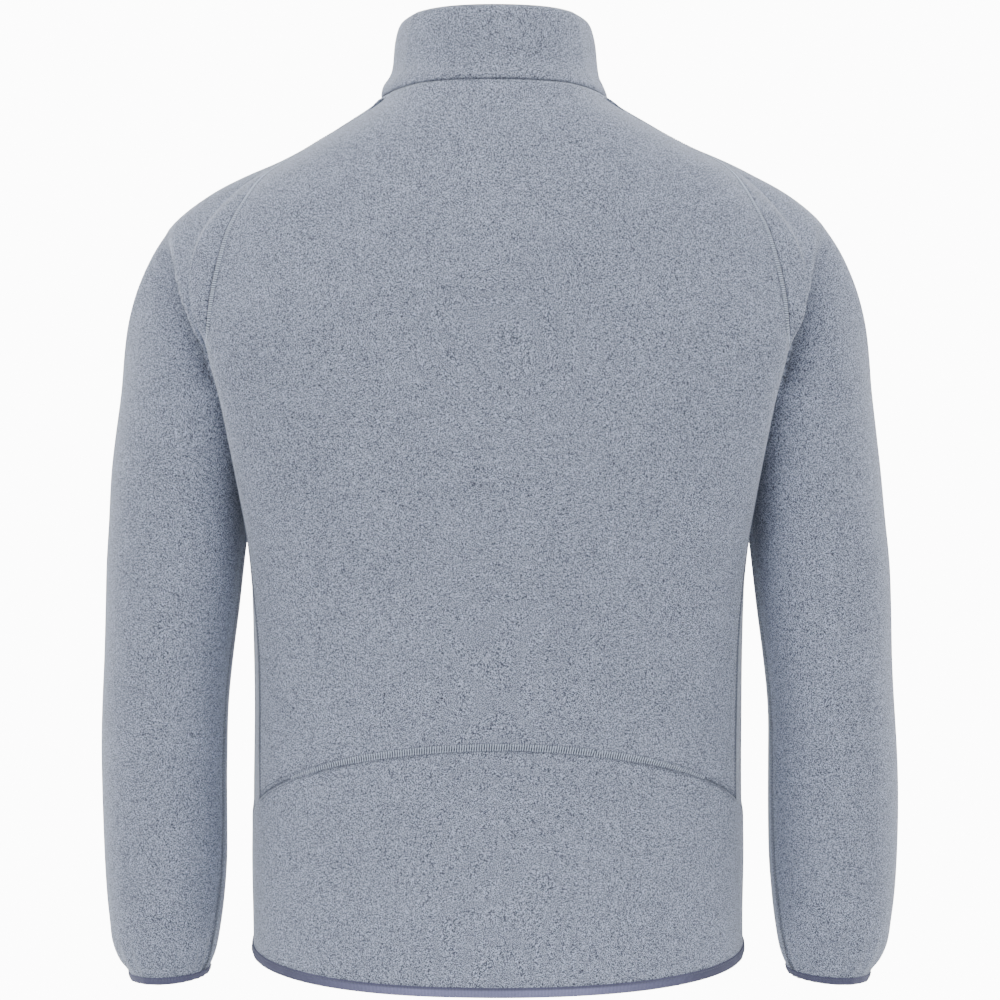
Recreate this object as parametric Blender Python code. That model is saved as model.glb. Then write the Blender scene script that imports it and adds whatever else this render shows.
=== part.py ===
"""A fleece zip jacket, filled out as it is worn, built from the pieces it is sewn from.

Metres, +Z up. The back faces -Y and the zip is at +Y. +X is the wearer's right side.
The origin lies between the shoulders, level with the base of the neck.
A "turn" is an angle round the body: 0 at the centre back, 90 at the side and 180 at the
centre front. The tables are in millimetres and degrees, and smooth curves run through
their rows. Every panel is a grid of points on its outer face. Neighbours share the
points of their seam, and each keeps half of SEAM_GAP from it.
"""

import math

import bpy
import numpy as np

MM = 0.001
SEAM_GAP = 0.3 * MM
FLEECE = 2.5 * MM
COLLAR_PROUD = 0.8 * MM
COLLAR_FLEECE = 3.0 * MM
BINDING = 1.1 * MM
HEM_BINDING_HEIGHT = 7.0 * MM
CUFF_BINDING_HEIGHT = 5.5 * MM
ZIP_EDGE = 8.0 * MM
TAPE_EDGE = 17.0 * MM
TAPE_THICK = 1.0 * MM
CHAIN_HALF_WIDTH = 2.9 * MM
CHAIN_THICK = 2.2 * MM
SQUARENESS = 0.8

BACK_COLUMNS = 20
FRONT_COLUMNS = 10
RAGLAN_ROWS = 11
FRONT_RAGLAN_ROWS = 9
UNDERARM_STEPS = 3
NECK_STEPS = 4
SIDE_ROWS = 9
TAIL_ROWS = 6
CAP_ROWS = 11

# Sections of the body from the neck down to the hem.
BODY = np.array(
    [
        # height, half_width, widest_y, back_y, front_y, recess, raglan_x
        (10, 76, 9, -79.5, 42, 0, 71),
        (5, 84, 9, -81, 45, 0, 77),
        (-3.4, 93, 9, -84, 50, 0, 87.5),
        (-19, 115, 9, -90, 59, 0, 110.6),
        (-36, 145, 9, -96, 70, 0, 141.5),
        (-51.6, 173, 9, -100, 80, 0, 167),
        (-69, 201, 9, -105, 90, 0, 186),
        (-84, 218, 9, -108.5, 97, 0, 194),
        (-104, 234, 8, -113, 106, 0, 204),
        (-123, 240, 0, -117, 113, 5, 209.3),
        (-148, 238, -20, -121, 120, 15, 214.7),
        (-173, 226, -55, -122, 126, 24, 217.3),
        (-194.7, 216.6, -68, -122, 130, 30, 216.6),
        (-215, 211, -68, -121.5, 131.5, 31, 211),
        (-234.5, 206.8, -67, -120.5, 132, 27, 206.8),
        (-270, 200.8, -60, -118, 132, 17, 200.8),
        (-302, 195.5, -50, -115, 130, 8, 195.5),
        (-350, 189.5, -30, -109, 127, 2, 189),
        (-400, 188, -13, -105, 123, 0, 184),
        (-450, 187.4, -4, -104, 121, 0, 181),
        (-500, 187.3, 0, -106, 120, 0, 180),
        (-560, 187.3, 0, -110, 120, 0, 180),
        (-680, 187, 0, -112, 118, 0, 180),
    ]
)
BODY_NAMES = ("height", "half_width", "widest_y", "back_y", "front_y", "recess", "raglan_x")
RECESS_END_Y = 67 * MM

# The front raglan seam, from the neck down to the armhole.
FRONT_RAGLAN = np.array(
    [
        # height, x
        (-24, 78),
        (-42, 97),
        (-75, 126),
        (-105, 148),
        (-135, 164),
        (-165, 174),
        (-188, 177),
    ]
)
FRONT_RAGLAN_NAMES = ("height", "x")

# How much each wish counts when the sleeve's cap is faired.
ALONG_WEIGHT = 1.0
ROUND_WEIGHT = 1.0
TANGENT_WEIGHT = 4.0
AWAY_WEIGHT = 2.0
FIRST_STEP = 16 * MM
OUTLINE_WEIGHT = 20.0
BESIDE_WEIGHT = 8.0
# How far the columns behind the cap's top one stay below the shoulder line, near the neck.
BESIDE_DROPS = (2.0 * MM, 4.5 * MM, 8.0 * MM)
BESIDE_ROWS = 4

NECK_BACK_HEIGHT = 8.5 * MM
NECK_RAGLAN_HEIGHT = 5 * MM
NECK_FRONT_HEIGHT = -62 * MM
NECK_SIDE = np.array([86.3, 2.0, 0.0]) * MM
UNDERARM_HEIGHT = -215 * MM
UNDERARM_TURN = 106.7
SIDE_SEAM_END = (71.5, -530 * MM)
TAIL_CORNER = (80.5, -538.5 * MM)
ARCH_TOP = -488.5 * MM
ARCH_DROP = 50 * MM
ARCH_POWER = 1.6
HEM_BACK = -670.7 * MM
HEM_SIDE_RISE = 25.5 * MM
HEM_FRONT_RISE = 12 * MM
HEM_POWER = 1.7

# The shoulder line, from the neck over the shoulder's tip to the upper arm.
SHOULDER = np.array(
    [
        # x, height
        (86.3, 0),
        (110, -15.3),
        (136.8, -30.6),
        (167.7, -45.8),
        (200.6, -61.1),
        (227.3, -76.4),
        (244.1, -91.7),
        (256.3, -107),
        (265.1, -122.2),
        (271.2, -137.5),
        (276.2, -152.8),
        (280, -168),
        (281.9, -183.4),
        (283.6, -198.6),
        (285.6, -214),
        (287.5, -229),
    ]
)

# Rings of the sleeve below its cap, each from its outer to its inner edge.
ARM = np.array(
    [
        # outer_height, outer_x, inner_height, inner_x, middle_y, half_depth
        (-229, 287.5, -246, 180, 16, 58),
        (-258, 290.8, -266, 182.2, 17, 59),
        (-288, 294.3, -292, 186, 18, 59),
        (-320, 297.1, -321, 190.2, 18, 58),
        (-352, 299.7, -352, 193.8, 17, 57),
        (-386, 300.8, -386, 198, 16, 56),
        (-424, 302, -424, 203, 16, 55),
        (-464, 303.6, -464, 207, 17, 54),
        (-505, 305, -505, 208, 20, 53),
        (-545, 305.6, -545, 208.3, 24, 52),
        (-580, 305, -579, 209, 28, 50),
        (-608, 303.5, -606, 211, 32, 48),
        (-628, 301.5, -625, 213, 35, 45.5),
        (-645, 299, -642, 215.5, 37, 42.5),
        (-659, 293.5, -654.5, 218.5, 38.5, 39),
        (-667.5, 287.5, -663, 221.8, 39.5, 36),
        (-674, 285, -669.5, 224.5, 40, 34.5),
    ]
)
ARM_NAMES = ("outer_height", "outer_x", "inner_height", "inner_x", "middle_y", "half_depth")

# The fold that runs from the shoulder's tip down to the armpit, and its roll.
FOLD = np.array(
    [
        # height, x, roll
        (-85, 249, 0),
        (-101, 243, 1.5),
        (-123.5, 238.5, 5),
        (-148, 232.5, 9),
        (-173, 225, 11),
        (-196, 216.6, 8),
        (-240, 206, 0),
    ]
)
FOLD_NAMES = ("height", "x", "roll")
FOLD_WIDTH = 9 * MM

# The collar from its seam to its edge: how far in towards the top ring it has come.
COLLAR = np.array(
    [
        # share, inward
        (0, 0),
        (12, 26),
        (27, 53),
        (50, 63),
        (76, 72),
        (92, 86),
        (100, 100),
    ]
)
COLLAR_TOP = {"half_width": 73 * MM, "back_y": -72 * MM, "front_y": 76 * MM, "middle_y": 4 * MM}
COLLAR_TOP_HEIGHT = 64.5 * MM
COLLAR_TOP_DROP = 62 * MM
COLLAR_TOP_POWER = 2.2

SLIDER_BELOW_TOP = 8.6 * MM
# The pull's pivot above the slider's middle: outward and up, in mm.
PULL_PIVOT = (3.7, 2.8)

COLOURS = {
    "fleece": (0.30, 0.33, 0.40, 1),
    "binding": (0.16, 0.18, 0.26, 1),
    "zip_tape": (0.16, 0.18, 0.25, 1),
    "zip_coil": (0.13, 0.14, 0.20, 1),
    "zip_metal": (0.20, 0.21, 0.25, 1),
}


def curve_through(keys, values, at):
    """Piecewise cubic that passes each value and never overshoots between two."""
    steps = np.diff(keys)
    rises = np.diff(values) / steps
    slopes = np.empty(len(keys))
    slopes[0] = rises[0]
    slopes[-1] = rises[-1]
    before, after = rises[:-1], rises[1:]
    weight_1 = 2 * steps[1:] + steps[:-1]
    weight_2 = steps[1:] + 2 * steps[:-1]
    same = before * after > 0
    safe_1 = np.where(same, before, 1)
    safe_2 = np.where(same, after, 1)
    mean = (weight_1 + weight_2) / (weight_1 / safe_1 + weight_2 / safe_2)
    slopes[1:-1] = np.where(same, mean, 0)
    at = np.clip(np.asarray(at, float), keys[0], keys[-1])
    i = np.clip(np.searchsorted(keys, at) - 1, 0, len(steps) - 1)
    t = (at - keys[i]) / steps[i]
    start = (1 + 2 * t) * (1 - t) ** 2 * values[i] + t * (1 - t) ** 2 * steps[i] * slopes[i]
    end = t * t * (3 - 2 * t) * values[i + 1] - t * t * (1 - t) * steps[i] * slopes[i + 1]
    return start + end


def column(table, names, name, height):
    """A column of a table, in metres, at any height; the first column is the height."""
    order = np.argsort(table[:, 0])
    keys = table[order, 0] * MM
    return curve_through(keys, table[order, names.index(name)] * MM, height)


def body(turn, height):
    """Points of the body's outer face on the +X side."""
    turn, height = np.broadcast_arrays(np.asarray(turn, float), np.asarray(height, float))
    half, widest, back, front, recess = (
        column(BODY, BODY_NAMES, name, height) for name in BODY_NAMES[1:6]
    )
    angle = np.radians(turn)
    across = np.sin(angle).clip(0) ** SQUARENESS
    along = np.abs(np.cos(angle)) ** SQUARENESS
    y = widest + np.where(np.cos(angle) > 0, (back - widest), (front - widest)) * along
    share = ((y - widest) / (RECESS_END_Y - widest)).clip(0, 1)
    pressed = np.where(turn > 90, recess * np.sin(math.pi * share) ** 2, 0)
    return np.stack([half * across - pressed, y, height], -1)


def turn_at(x, height):
    """The turn, up to 90, at which the body is this wide."""
    half = column(BODY, BODY_NAMES, "half_width", height)
    return np.degrees(np.arcsin((x / half).clip(0, 1) ** (1 / SQUARENESS)))


def even(points, count, dense):
    """Parameters that divide a dense run of points into count stretches of one length."""
    lengths = np.linalg.norm(np.diff(points, axis=0), axis=1)
    run = np.concatenate([[0], np.cumsum(lengths)])
    return np.interp(np.linspace(0, run[-1], count + 1), run, dense)


def arch(turn):
    return ARCH_TOP - ARCH_DROP * (turn / TAIL_CORNER[0]) ** ARCH_POWER


def hem(turn):
    turn = np.asarray(turn, float)
    back = HEM_SIDE_RISE * (turn.clip(0, 90) / 90) ** HEM_POWER
    bend = HEM_POWER * HEM_SIDE_RISE / HEM_FRONT_RISE
    front = HEM_FRONT_RISE * (1 - (1 - ((turn - 90) / 90).clip(0, 1)) ** bend)
    return HEM_BACK + back + front


def back_raglan():
    """(turn, height) down the back raglan seam to the armpit."""
    heights = np.linspace(NECK_RAGLAN_HEIGHT, -194.7 * MM, 400)
    turns = turn_at(column(BODY, BODY_NAMES, "raglan_x", heights), heights)
    turns[-1] = 90
    at = even(body(turns, heights), RAGLAN_ROWS, heights)
    return np.interp(-at, -heights, turns), at


def front_raglan():
    """(turn, height) down the front raglan seam to the armhole's lower edge."""
    heights = np.linspace(FRONT_RAGLAN[0, 0], FRONT_RAGLAN[-1, 0], 400) * MM
    x = column(FRONT_RAGLAN, FRONT_RAGLAN_NAMES, "x", heights)
    turns = 180 - turn_at(x, heights)
    at = even(body(turns, heights), FRONT_RAGLAN_ROWS, heights)
    return np.interp(-at, -heights, turns), at


def underarm(front_end, back_end):
    """(turn, height) under the arm, from the front raglan's end to the back one's."""
    share = np.linspace(0, 1, 2 * UNDERARM_STEPS + 1)
    turns = curve_through(
        np.array([0, 0.5, 1]), np.array([front_end[0], UNDERARM_TURN, back_end[0]]), share
    )
    heights = curve_through(
        np.array([0, 0.5, 1]), np.array([front_end[1], UNDERARM_HEIGHT, back_end[1]]), share
    )
    turns[[0, -1]] = front_end[0], back_end[0]
    heights[[0, -1]] = front_end[1], back_end[1]
    return turns, heights


def side_seam():
    """(turn, height) from the armpit down the side-back seam."""
    heights = np.linspace(-194.7 * MM, SIDE_SEAM_END[1], 400)
    turns = curve_through(
        np.array([SIDE_SEAM_END[1], -420 * MM, -360 * MM, -300 * MM, -194.7 * MM]),
        np.array([SIDE_SEAM_END[0], 73.0, 79.0, 89.0, 90.0]),
        heights,
    )
    at = even(body(turns, heights), SIDE_ROWS, heights)
    return np.interp(-at, -heights, turns), at


def tail_side():
    """(turn, height) from the arched seam's end down to the hem."""
    share = np.linspace(0, 1, TAIL_ROWS + 1)
    turns = TAIL_CORNER[0] + (88 - TAIL_CORNER[0]) * (1 - (1 - share) ** 2)
    heights = TAIL_CORNER[1] + (hem(88.0) - TAIL_CORNER[1]) * share
    return turns, heights


RAGLAN = back_raglan()
RAGLAN_FRONT = front_raglan()
UNDERARM = underarm(
    (RAGLAN_FRONT[0][-1], RAGLAN_FRONT[1][-1]), (RAGLAN[0][-1], RAGLAN[1][-1])
)
SIDE = side_seam()
TAIL = tail_side()


def mirrored(points):
    return points * np.array([-1.0, 1.0, 1.0])


def both_halves(half):
    """Rows from the centre to one side, carried on to the other side."""
    return np.concatenate([mirrored(half[:, :0:-1]), half], axis=1)


def back_grid():
    """Rows from the neck to the arched seam; columns from -X to +X."""
    side_turn = np.concatenate([RAGLAN[0], SIDE[0][1:]])
    side_height = np.concatenate([RAGLAN[1], SIDE[1][1:]])
    share = np.linspace(0, 1, BACK_COLUMNS // 2 + 1)
    rows = []
    for turn, height in zip(side_turn, side_height):
        down = (NECK_RAGLAN_HEIGHT - height) / (NECK_RAGLAN_HEIGHT - SIDE_SEAM_END[1])
        centre = NECK_BACK_HEIGHT + (ARCH_TOP - NECK_BACK_HEIGHT) * down
        turns = turn * share
        line = centre + (height - centre) * share**ARCH_POWER
        rows.append(body(turns, line))
    rows[-1] = body(SIDE_SEAM_END[0] * share, arch(SIDE_SEAM_END[0] * share))
    rows[-1][-1] = body(SIDE[0][-1], SIDE[1][-1])
    return both_halves(np.array(rows))


def lower_back_grid(arch_row):
    """Rows from the arched seam to the hem, with one more column beyond each end."""
    share = np.linspace(0, 1, BACK_COLUMNS // 2 + 1)
    rows = []
    for row in range(TAIL_ROWS + 1):
        down = row / TAIL_ROWS
        turns = np.append(
            share * (SIDE_SEAM_END[0] + (83 - SIDE_SEAM_END[0]) * down), TAIL[0][row]
        )
        top = np.append(arch(share * SIDE_SEAM_END[0]), TAIL[1][0])
        heights = top + (hem(turns) - top) * down
        heights[-1] = TAIL[1][row]
        rows.append(body(turns, heights))
    grid = both_halves(np.array(rows))
    grid[0, 1:-1] = arch_row
    return grid


def upper_front_grid():
    """Rows from the neck to the armhole; columns from the zip to the raglan seam."""
    share = np.linspace(0, 1, FRONT_COLUMNS + 1)
    rows = []
    count = FRONT_RAGLAN_ROWS
    for row in range(count + 1):
        turn, height = RAGLAN_FRONT[0][row], RAGLAN_FRONT[1][row]
        centre = NECK_FRONT_HEIGHT + (-200 * MM - NECK_FRONT_HEIGHT) * (row / count) ** 0.9
        line = centre + (height - centre) * share**1.6
        edge = 180 - turn_at(np.array(ZIP_EDGE), line[0])
        rows.append(body(edge + (turn - edge) * share, line))
    return np.array(rows)


def lower_front_grid(top_row):
    """Rows from the armhole's level to the hem; columns from the zip to the side."""
    under = body(*UNDERARM)[1:]
    top = np.concatenate([top_row, under])
    side_turn = np.concatenate([SIDE[0], TAIL[0]])
    side_height = np.concatenate([SIDE[1], TAIL[1]])
    top_turn = np.concatenate([np.linspace(0, 1, FRONT_COLUMNS + 1), UNDERARM[0][1:]])
    edge = 180 - turn_at(np.array(ZIP_EDGE), -200 * MM)
    top_turn[: FRONT_COLUMNS + 1] = edge + (UNDERARM[0][0] - edge) * top_turn[: FRONT_COLUMNS + 1]
    hem_turn = np.linspace(180 - turn_at(np.array(ZIP_EDGE), HEM_BACK), side_turn[-1], len(top_turn))
    rows = [top]
    for turn, height in zip(side_turn[1:], side_height[1:]):
        down = (side_height[0] - height) / (side_height[0] - side_height[-1])
        turns = top_turn + (hem_turn - top_turn) * down**0.7
        turns[0] = 180 - turn_at(np.array(ZIP_EDGE), height)
        heights = top[:, 2] + (hem(hem_turn) - top[:, 2]) * down
        turns[-1], heights[-1] = turn, height
        rows.append(body(turns, heights))
    return np.array(rows)


def bent(points, start, end, count):
    """A curve through points, evenly divided, between two of their numbers."""
    keys = np.arange(len(points), dtype=float)
    dense = np.linspace(start, end, 200)
    line = np.stack([natural_cubic(keys, points[:, axis], dense) for axis in range(3)], -1)
    at = even(line, count, dense)
    return np.stack([natural_cubic(keys, points[:, axis], at) for axis in range(3)], -1)


def natural_cubic(keys, values, at):
    """Catmull-Rom curve through evenly keyed values."""
    padded = np.concatenate([[2 * values[0] - values[1]], values, [2 * values[-1] - values[-2]]])
    i = np.clip(np.floor(at).astype(int), 0, len(keys) - 2)
    t = at - i
    a, b, c, d = padded[i], padded[i + 1], padded[i + 2], padded[i + 3]
    slope = (c - a) * t * (1 - t) ** 2 / 2 - (d - b) * t * t * (1 - t) / 2
    return b * (1 + 2 * t) * (1 - t) ** 2 + c * t * t * (3 - 2 * t) + slope


def neck_edge(back_row, front_row):
    """The sleeve's edge on the collar, from the back raglan seam to the front one."""
    points = np.array(
        [back_row[-4], back_row[-1], NECK_SIDE, front_row[-1], front_row[-4]]
    )
    line = bent(points, 1, 3, NECK_STEPS)
    line[0], line[-1] = back_row[-1], front_row[-1]
    return line


def armhole(neck_line):
    """The closed edge that the sleeve starts from, and the body's normals along it."""
    middle = UNDERARM_STEPS
    turns = np.concatenate([UNDERARM[0][middle:-1], RAGLAN[0][::-1]])
    heights = np.concatenate([UNDERARM[1][middle:-1], RAGLAN[1][::-1]])
    first = len(turns)
    turns = np.concatenate([turns, RAGLAN_FRONT[0], UNDERARM[0][1:middle]])
    heights = np.concatenate([heights, RAGLAN_FRONT[1], UNDERARM[1][1:middle]])
    points = body(turns, heights)
    normals = np.cross(body(turns, heights - MM) - points, body(turns + 1, heights) - points)
    normals /= np.linalg.norm(normals, axis=1)[:, None]
    neck = neck_line[1:-1]
    share = np.linspace(0, 1, len(neck) + 2)[1:-1, None]
    between = (1 - share) * normals[first - 1] + share * normals[first]
    between[:, 2] += 1.2 * share[:, 0] * (1 - share[:, 0]) * 4
    points = np.concatenate([points[:first], neck, points[first:]])
    normals = np.concatenate([normals[:first], between, normals[first:]])
    return points, normals / np.linalg.norm(normals, axis=1)[:, None], first, len(neck)


def arm_ring(row, angle):
    """One ring of the sleeve; the angle runs from the inner side over the back."""
    values = dict(zip(ARM_NAMES, ARM[row] * MM))
    share = (1 - np.cos(angle)) / 2
    x = values["inner_x"] + (values["outer_x"] - values["inner_x"]) * share
    y = values["middle_y"] - values["half_depth"] * np.sin(angle)
    z = values["inner_height"] + (values["outer_height"] - values["inner_height"]) * share
    return np.stack([x, y, z], -1)


def evenly(points, count):
    at = even(points, count, np.arange(len(points), dtype=float))
    return np.stack(
        [np.interp(at, np.arange(len(points)), points[:, axis]) for axis in range(3)], -1
    )


def shoulder_line():
    """The top of the cap, from the neck to the first ring of the arm."""
    keys = np.arange(len(SHOULDER), dtype=float)
    at = np.linspace(0, len(SHOULDER) - 1, 400)
    x = natural_cubic(keys, SHOULDER[:, 0] * MM, at)
    z = natural_cubic(keys, SHOULDER[:, 1] * MM, at)
    y = np.interp(at, [0, len(SHOULDER) - 1], [NECK_SIDE[1], ARM[0, 4] * MM])
    return evenly(np.stack([x, y, z], -1), CAP_ROWS)


def faired(start, normals, first_ring, second_ring, top):
    """Rows of the cap: the smoothest sheet from the armhole to the arm's first rings.

    Least squares over the second differences both ways. The sheet leaves the body's
    panels in their own surface, and its top column follows the shoulder line.
    """
    count = len(start)
    fixed = {0: start, CAP_ROWS: first_ring, CAP_ROWS + 1: second_ring}
    lines, targets = [], []

    def ask(terms, direction, target, weight):
        """Asks that the sum of factor * (direction . point) be the target."""
        line = np.zeros((CAP_ROWS - 1) * count * 3)
        for row, column, factor in terms:
            if row in fixed:
                target = target - factor * fixed[row][column % count] @ direction
            else:
                at = ((row - 1) * count + column % count) * 3
                line[at : at + 3] += factor * direction
        lines.append(weight * line)
        targets.append(weight * target)

    away = np.cross(np.roll(start, -1, axis=0) - np.roll(start, 1, axis=0), normals)
    away /= np.linalg.norm(away, axis=1)[:, None]
    axes = np.eye(3)
    outline = shoulder_line()
    for column in range(count):
        for row in range(1, CAP_ROWS + 1):
            down = ((row - 1, column, 1), (row, column, -2), (row + 1, column, 1))
            for axis in axes:
                ask(down, axis, 0.0, ALONG_WEIGHT)
        for row in range(1, CAP_ROWS):
            round_arm = ((row, column - 1, 1), (row, column, -2), (row, column + 1, 1))
            for axis in axes:
                ask(round_arm, axis, 0.0, ROUND_WEIGHT)
        if min(column, count - column) >= UNDERARM_STEPS:
            first_step = ((1, column, 1), (0, column, -1))
            ask(first_step, normals[column], 0.0, TANGENT_WEIGHT)
            from_neck = min(1, (abs(column - top) - NECK_STEPS // 2) / 5)
            if from_neck > 0:
                ask(first_step, away[column], FIRST_STEP * from_neck, AWAY_WEIGHT)
    for row in range(1, CAP_ROWS):
        for axis in axes:
            ask(((row, top, 1),), axis, outline[row] @ axis, OUTLINE_WEIGHT)
    along = np.gradient(outline, axis=0)
    for row in range(1, BESIDE_ROWS + 1):
        above = np.array([-along[row, 2], 0, along[row, 0]])
        above /= np.linalg.norm(above)
        for step, drop in enumerate(BESIDE_DROPS, 1):
            ask(((row, top - step, 1),), above, outline[row] @ above - drop, BESIDE_WEIGHT)
    solved = np.linalg.lstsq(np.array(lines), np.array(targets), rcond=None)[0]
    return np.concatenate([start[None], solved.reshape(-1, count, 3), first_ring[None]])


def sleeve_grid(neck_line):
    """Rows from the armhole to the cuff; columns round the arm, from the underarm."""
    start, normals, first, neck_count = armhole(neck_line)
    closed = np.concatenate([start, start[:1]])
    lengths = np.linalg.norm(np.diff(closed, axis=0), axis=1)
    angle = 2 * math.pi * np.concatenate([[0], np.cumsum(lengths)[:-1]]) / lengths.sum()
    rings = [arm_ring(row, angle) for row in range(len(ARM))]
    cap = faired(start, normals, rings[0], rings[1], first + neck_count // 2)
    return rolled_fold(np.concatenate([cap, rings[1:]]))


def rolled_fold(rows):
    """The roll of cloth inside the fold that leads from the shoulder to the armpit."""
    x, y, z = rows[..., 0], rows[..., 1], rows[..., 2]
    fold = column(FOLD, FOLD_NAMES, "x", z)
    roll = column(FOLD, FOLD_NAMES, "roll", z)
    beyond = (x - fold) / FOLD_WIDTH
    inside = 1 / (1 + np.exp(2.5 * beyond))
    seam = column(BODY, BODY_NAMES, "raglan_x", z)
    room = ((x - seam) / np.maximum(fold - seam, 1 * MM)).clip(0, 1)
    behind = ((FOLD_WIDTH - y) / (3 * FOLD_WIDTH)).clip(0, 1)
    weight = inside * room**0.7 * behind * behind * (3 - 2 * behind)
    weight[0] = 0
    rows[..., 1] -= roll * weight
    return rows


def collar_top(angle):
    """The collar's upper edge at an angle round the neck, 0 at the centre back."""
    across = np.sin(angle)
    along = np.cos(angle)
    middle = COLLAR_TOP["middle_y"]
    back = (middle - COLLAR_TOP["back_y"]) * along
    front = (COLLAR_TOP["front_y"] - middle) * along
    y = middle - np.where(along > 0, back, front)
    drop = COLLAR_TOP_DROP * ((1 - along) / 2) ** COLLAR_TOP_POWER
    return np.stack([COLLAR_TOP["half_width"] * across, y, COLLAR_TOP_HEIGHT - drop], -1)


def collar_grid(neck):
    """Rows from the neck seam to the top edge; columns from the +X zip edge round."""
    half = len(neck) // 2
    lengths = np.linalg.norm(np.diff(neck, axis=0), axis=1)
    run = np.concatenate([[0], np.cumsum(lengths)])
    angle = np.pi * (1 - run / run[half])
    edge = math.asin(ZIP_EDGE / COLLAR_TOP["half_width"])
    angle = angle * (math.pi - edge) / math.pi
    top = collar_top(np.abs(angle))
    top[:, 0] *= np.sign(angle) + (angle == 0)
    rows = []
    for share, inward in COLLAR / 100:
        row = neck + (top - neck) * np.array([inward, inward, share])
        row[0, 0], row[-1, 0] = ZIP_EDGE, -ZIP_EDGE
        rows.append(row)
    rows[0] = neck
    return np.array(rows)


class Cloth:
    """Panels as quads over shared points, with one normal for each place on a seam."""

    def __init__(self):
        self.panels = {}
        self.normals = {}

    def add(self, name, grids, closed=False, flipped=False):
        """Grids of one panel, which may share rows, with their outer faces outward."""
        places, index, quads = [], {}, []
        for grid in grids:
            numbers = np.array([[self.number(p, places, index) for p in row] for row in grid])
            if closed:
                numbers = np.concatenate([numbers, numbers[:, :1]], axis=1)
            for a, b in zip(numbers[:-1], numbers[1:]):
                for i in range(len(a) - 1):
                    quad = [a[i], b[i], b[i + 1], a[i + 1]]
                    quads.append([quad[0], quad[3], quad[2], quad[1]] if flipped else quad)
        points = np.array(places)
        quads = np.array(quads)
        self.panels[name] = (points, quads)
        diagonal_1 = points[quads[:, 2]] - points[quads[:, 0]]
        diagonal_2 = points[quads[:, 3]] - points[quads[:, 1]]
        faces = np.cross(diagonal_1, diagonal_2)
        sums = np.zeros_like(points)
        for corner in range(4):
            np.add.at(sums, quads[:, corner], faces)
        sums /= np.linalg.norm(sums, axis=1)[:, None]
        for point, normal in zip(points, sums):
            key = self.key(point)
            self.normals[key] = self.normals.get(key, np.zeros(3)) + normal

    @staticmethod
    def key(point):
        return tuple(np.round(np.asarray(point) * 1e7).astype(np.int64))

    def number(self, point, places, index):
        key = self.key(point)
        if key not in index:
            index[key] = len(places)
            places.append(np.array(point, float))
        return index[key]

    def normals_of(self, points):
        normals = np.array([self.normals[self.key(point)] for point in points])
        return normals / np.linalg.norm(normals, axis=1)[:, None]

    def wall(self, name, proud, deep):
        """Vertices and faces of a panel's closed wall, drawn in from its edges."""
        points, quads = self.panels[name]
        normals = self.normals_of(points)
        half_edges = {}
        for quad in quads:
            for a, b in zip(quad, np.roll(quad, -1)):
                half_edges[(a, b)] = True
        rim = {a: b for a, b in half_edges if (b, a) not in half_edges}
        before = {b: a for a, b in rim.items()}
        moved = points.copy()
        for vertex, after in rim.items():
            inward = []
            for a, b in ((before[vertex], vertex), (vertex, after)):
                side = np.cross(normals[vertex], points[b] - points[a])
                inward.append(side / np.linalg.norm(side))
            mitre = (inward[0] + inward[1]) / max(0.4, 1 + inward[0] @ inward[1])
            moved[vertex] = points[vertex] + SEAM_GAP / 2 * mitre
        outer = moved + proud * normals
        inner = moved - deep * normals
        count = len(points)
        faces = []
        for a, b, c, d in quads:
            faces += [[a, b, c], [a, c, d]]
            faces += [[c + count, b + count, a + count], [d + count, c + count, a + count]]
        for a, b in rim.items():
            if self.key(points[a]) < self.key(points[b]):
                faces += [[b, a, a + count], [b, a + count, b + count]]
            else:
                faces += [[b, a, b + count], [a, a + count, b + count]]
        return np.concatenate([outer, inner]), faces


def material(name):
    made = bpy.data.materials.get(name)
    if made is None:
        made = bpy.data.materials.new(name)
        made.use_nodes = True
        shader = made.node_tree.nodes["Principled BSDF"]
        shader.inputs["Base Color"].default_value = COLOURS[name]
        shader.inputs["Roughness"].default_value = 0.35 if name == "zip_metal" else 0.9
        shader.inputs["Metallic"].default_value = 0.8 if name == "zip_metal" else 0
    return made


def add_object(name, vertices, faces, finish):
    """A mesh object whose faces are turned outward."""
    vertices = np.asarray(vertices, float)
    volume = 0
    for face in faces:
        for b, c in zip(face[1:-1], face[2:]):
            volume += vertices[face[0]] @ np.cross(vertices[b], vertices[c])
    if volume < 0:
        faces = [list(face)[::-1] for face in faces]
    mesh = bpy.data.meshes.new(name)
    mesh.from_pydata([tuple(map(float, v)) for v in vertices], [], [tuple(map(int, f)) for f in faces])
    mesh.validate()
    mesh.shade_smooth()
    mesh.set_sharp_from_angle(angle=math.radians(50))
    mesh.materials.append(material(finish))
    made = bpy.data.objects.new(name, mesh)
    bpy.context.scene.collection.objects.link(made)
    return made


def swept(name, sections, finish, closed=False):
    """A closed profile carried along its places; sections are (places, corners, 3)."""
    places, corners = sections.shape[:2]
    vertices = sections.reshape(-1, 3)
    faces = []
    for i in range(places if closed else places - 1):
        a, b = i * corners, (i + 1) % places * corners
        for j in range(corners):
            k = (j + 1) % corners
            faces.append([a + j, b + j, b + k, a + k])
    if not closed:
        faces.append(list(range(corners)))
        faces.append([(places - 1) * corners + j for j in range(corners)][::-1])
    return add_object(name, vertices, faces, finish)


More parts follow.
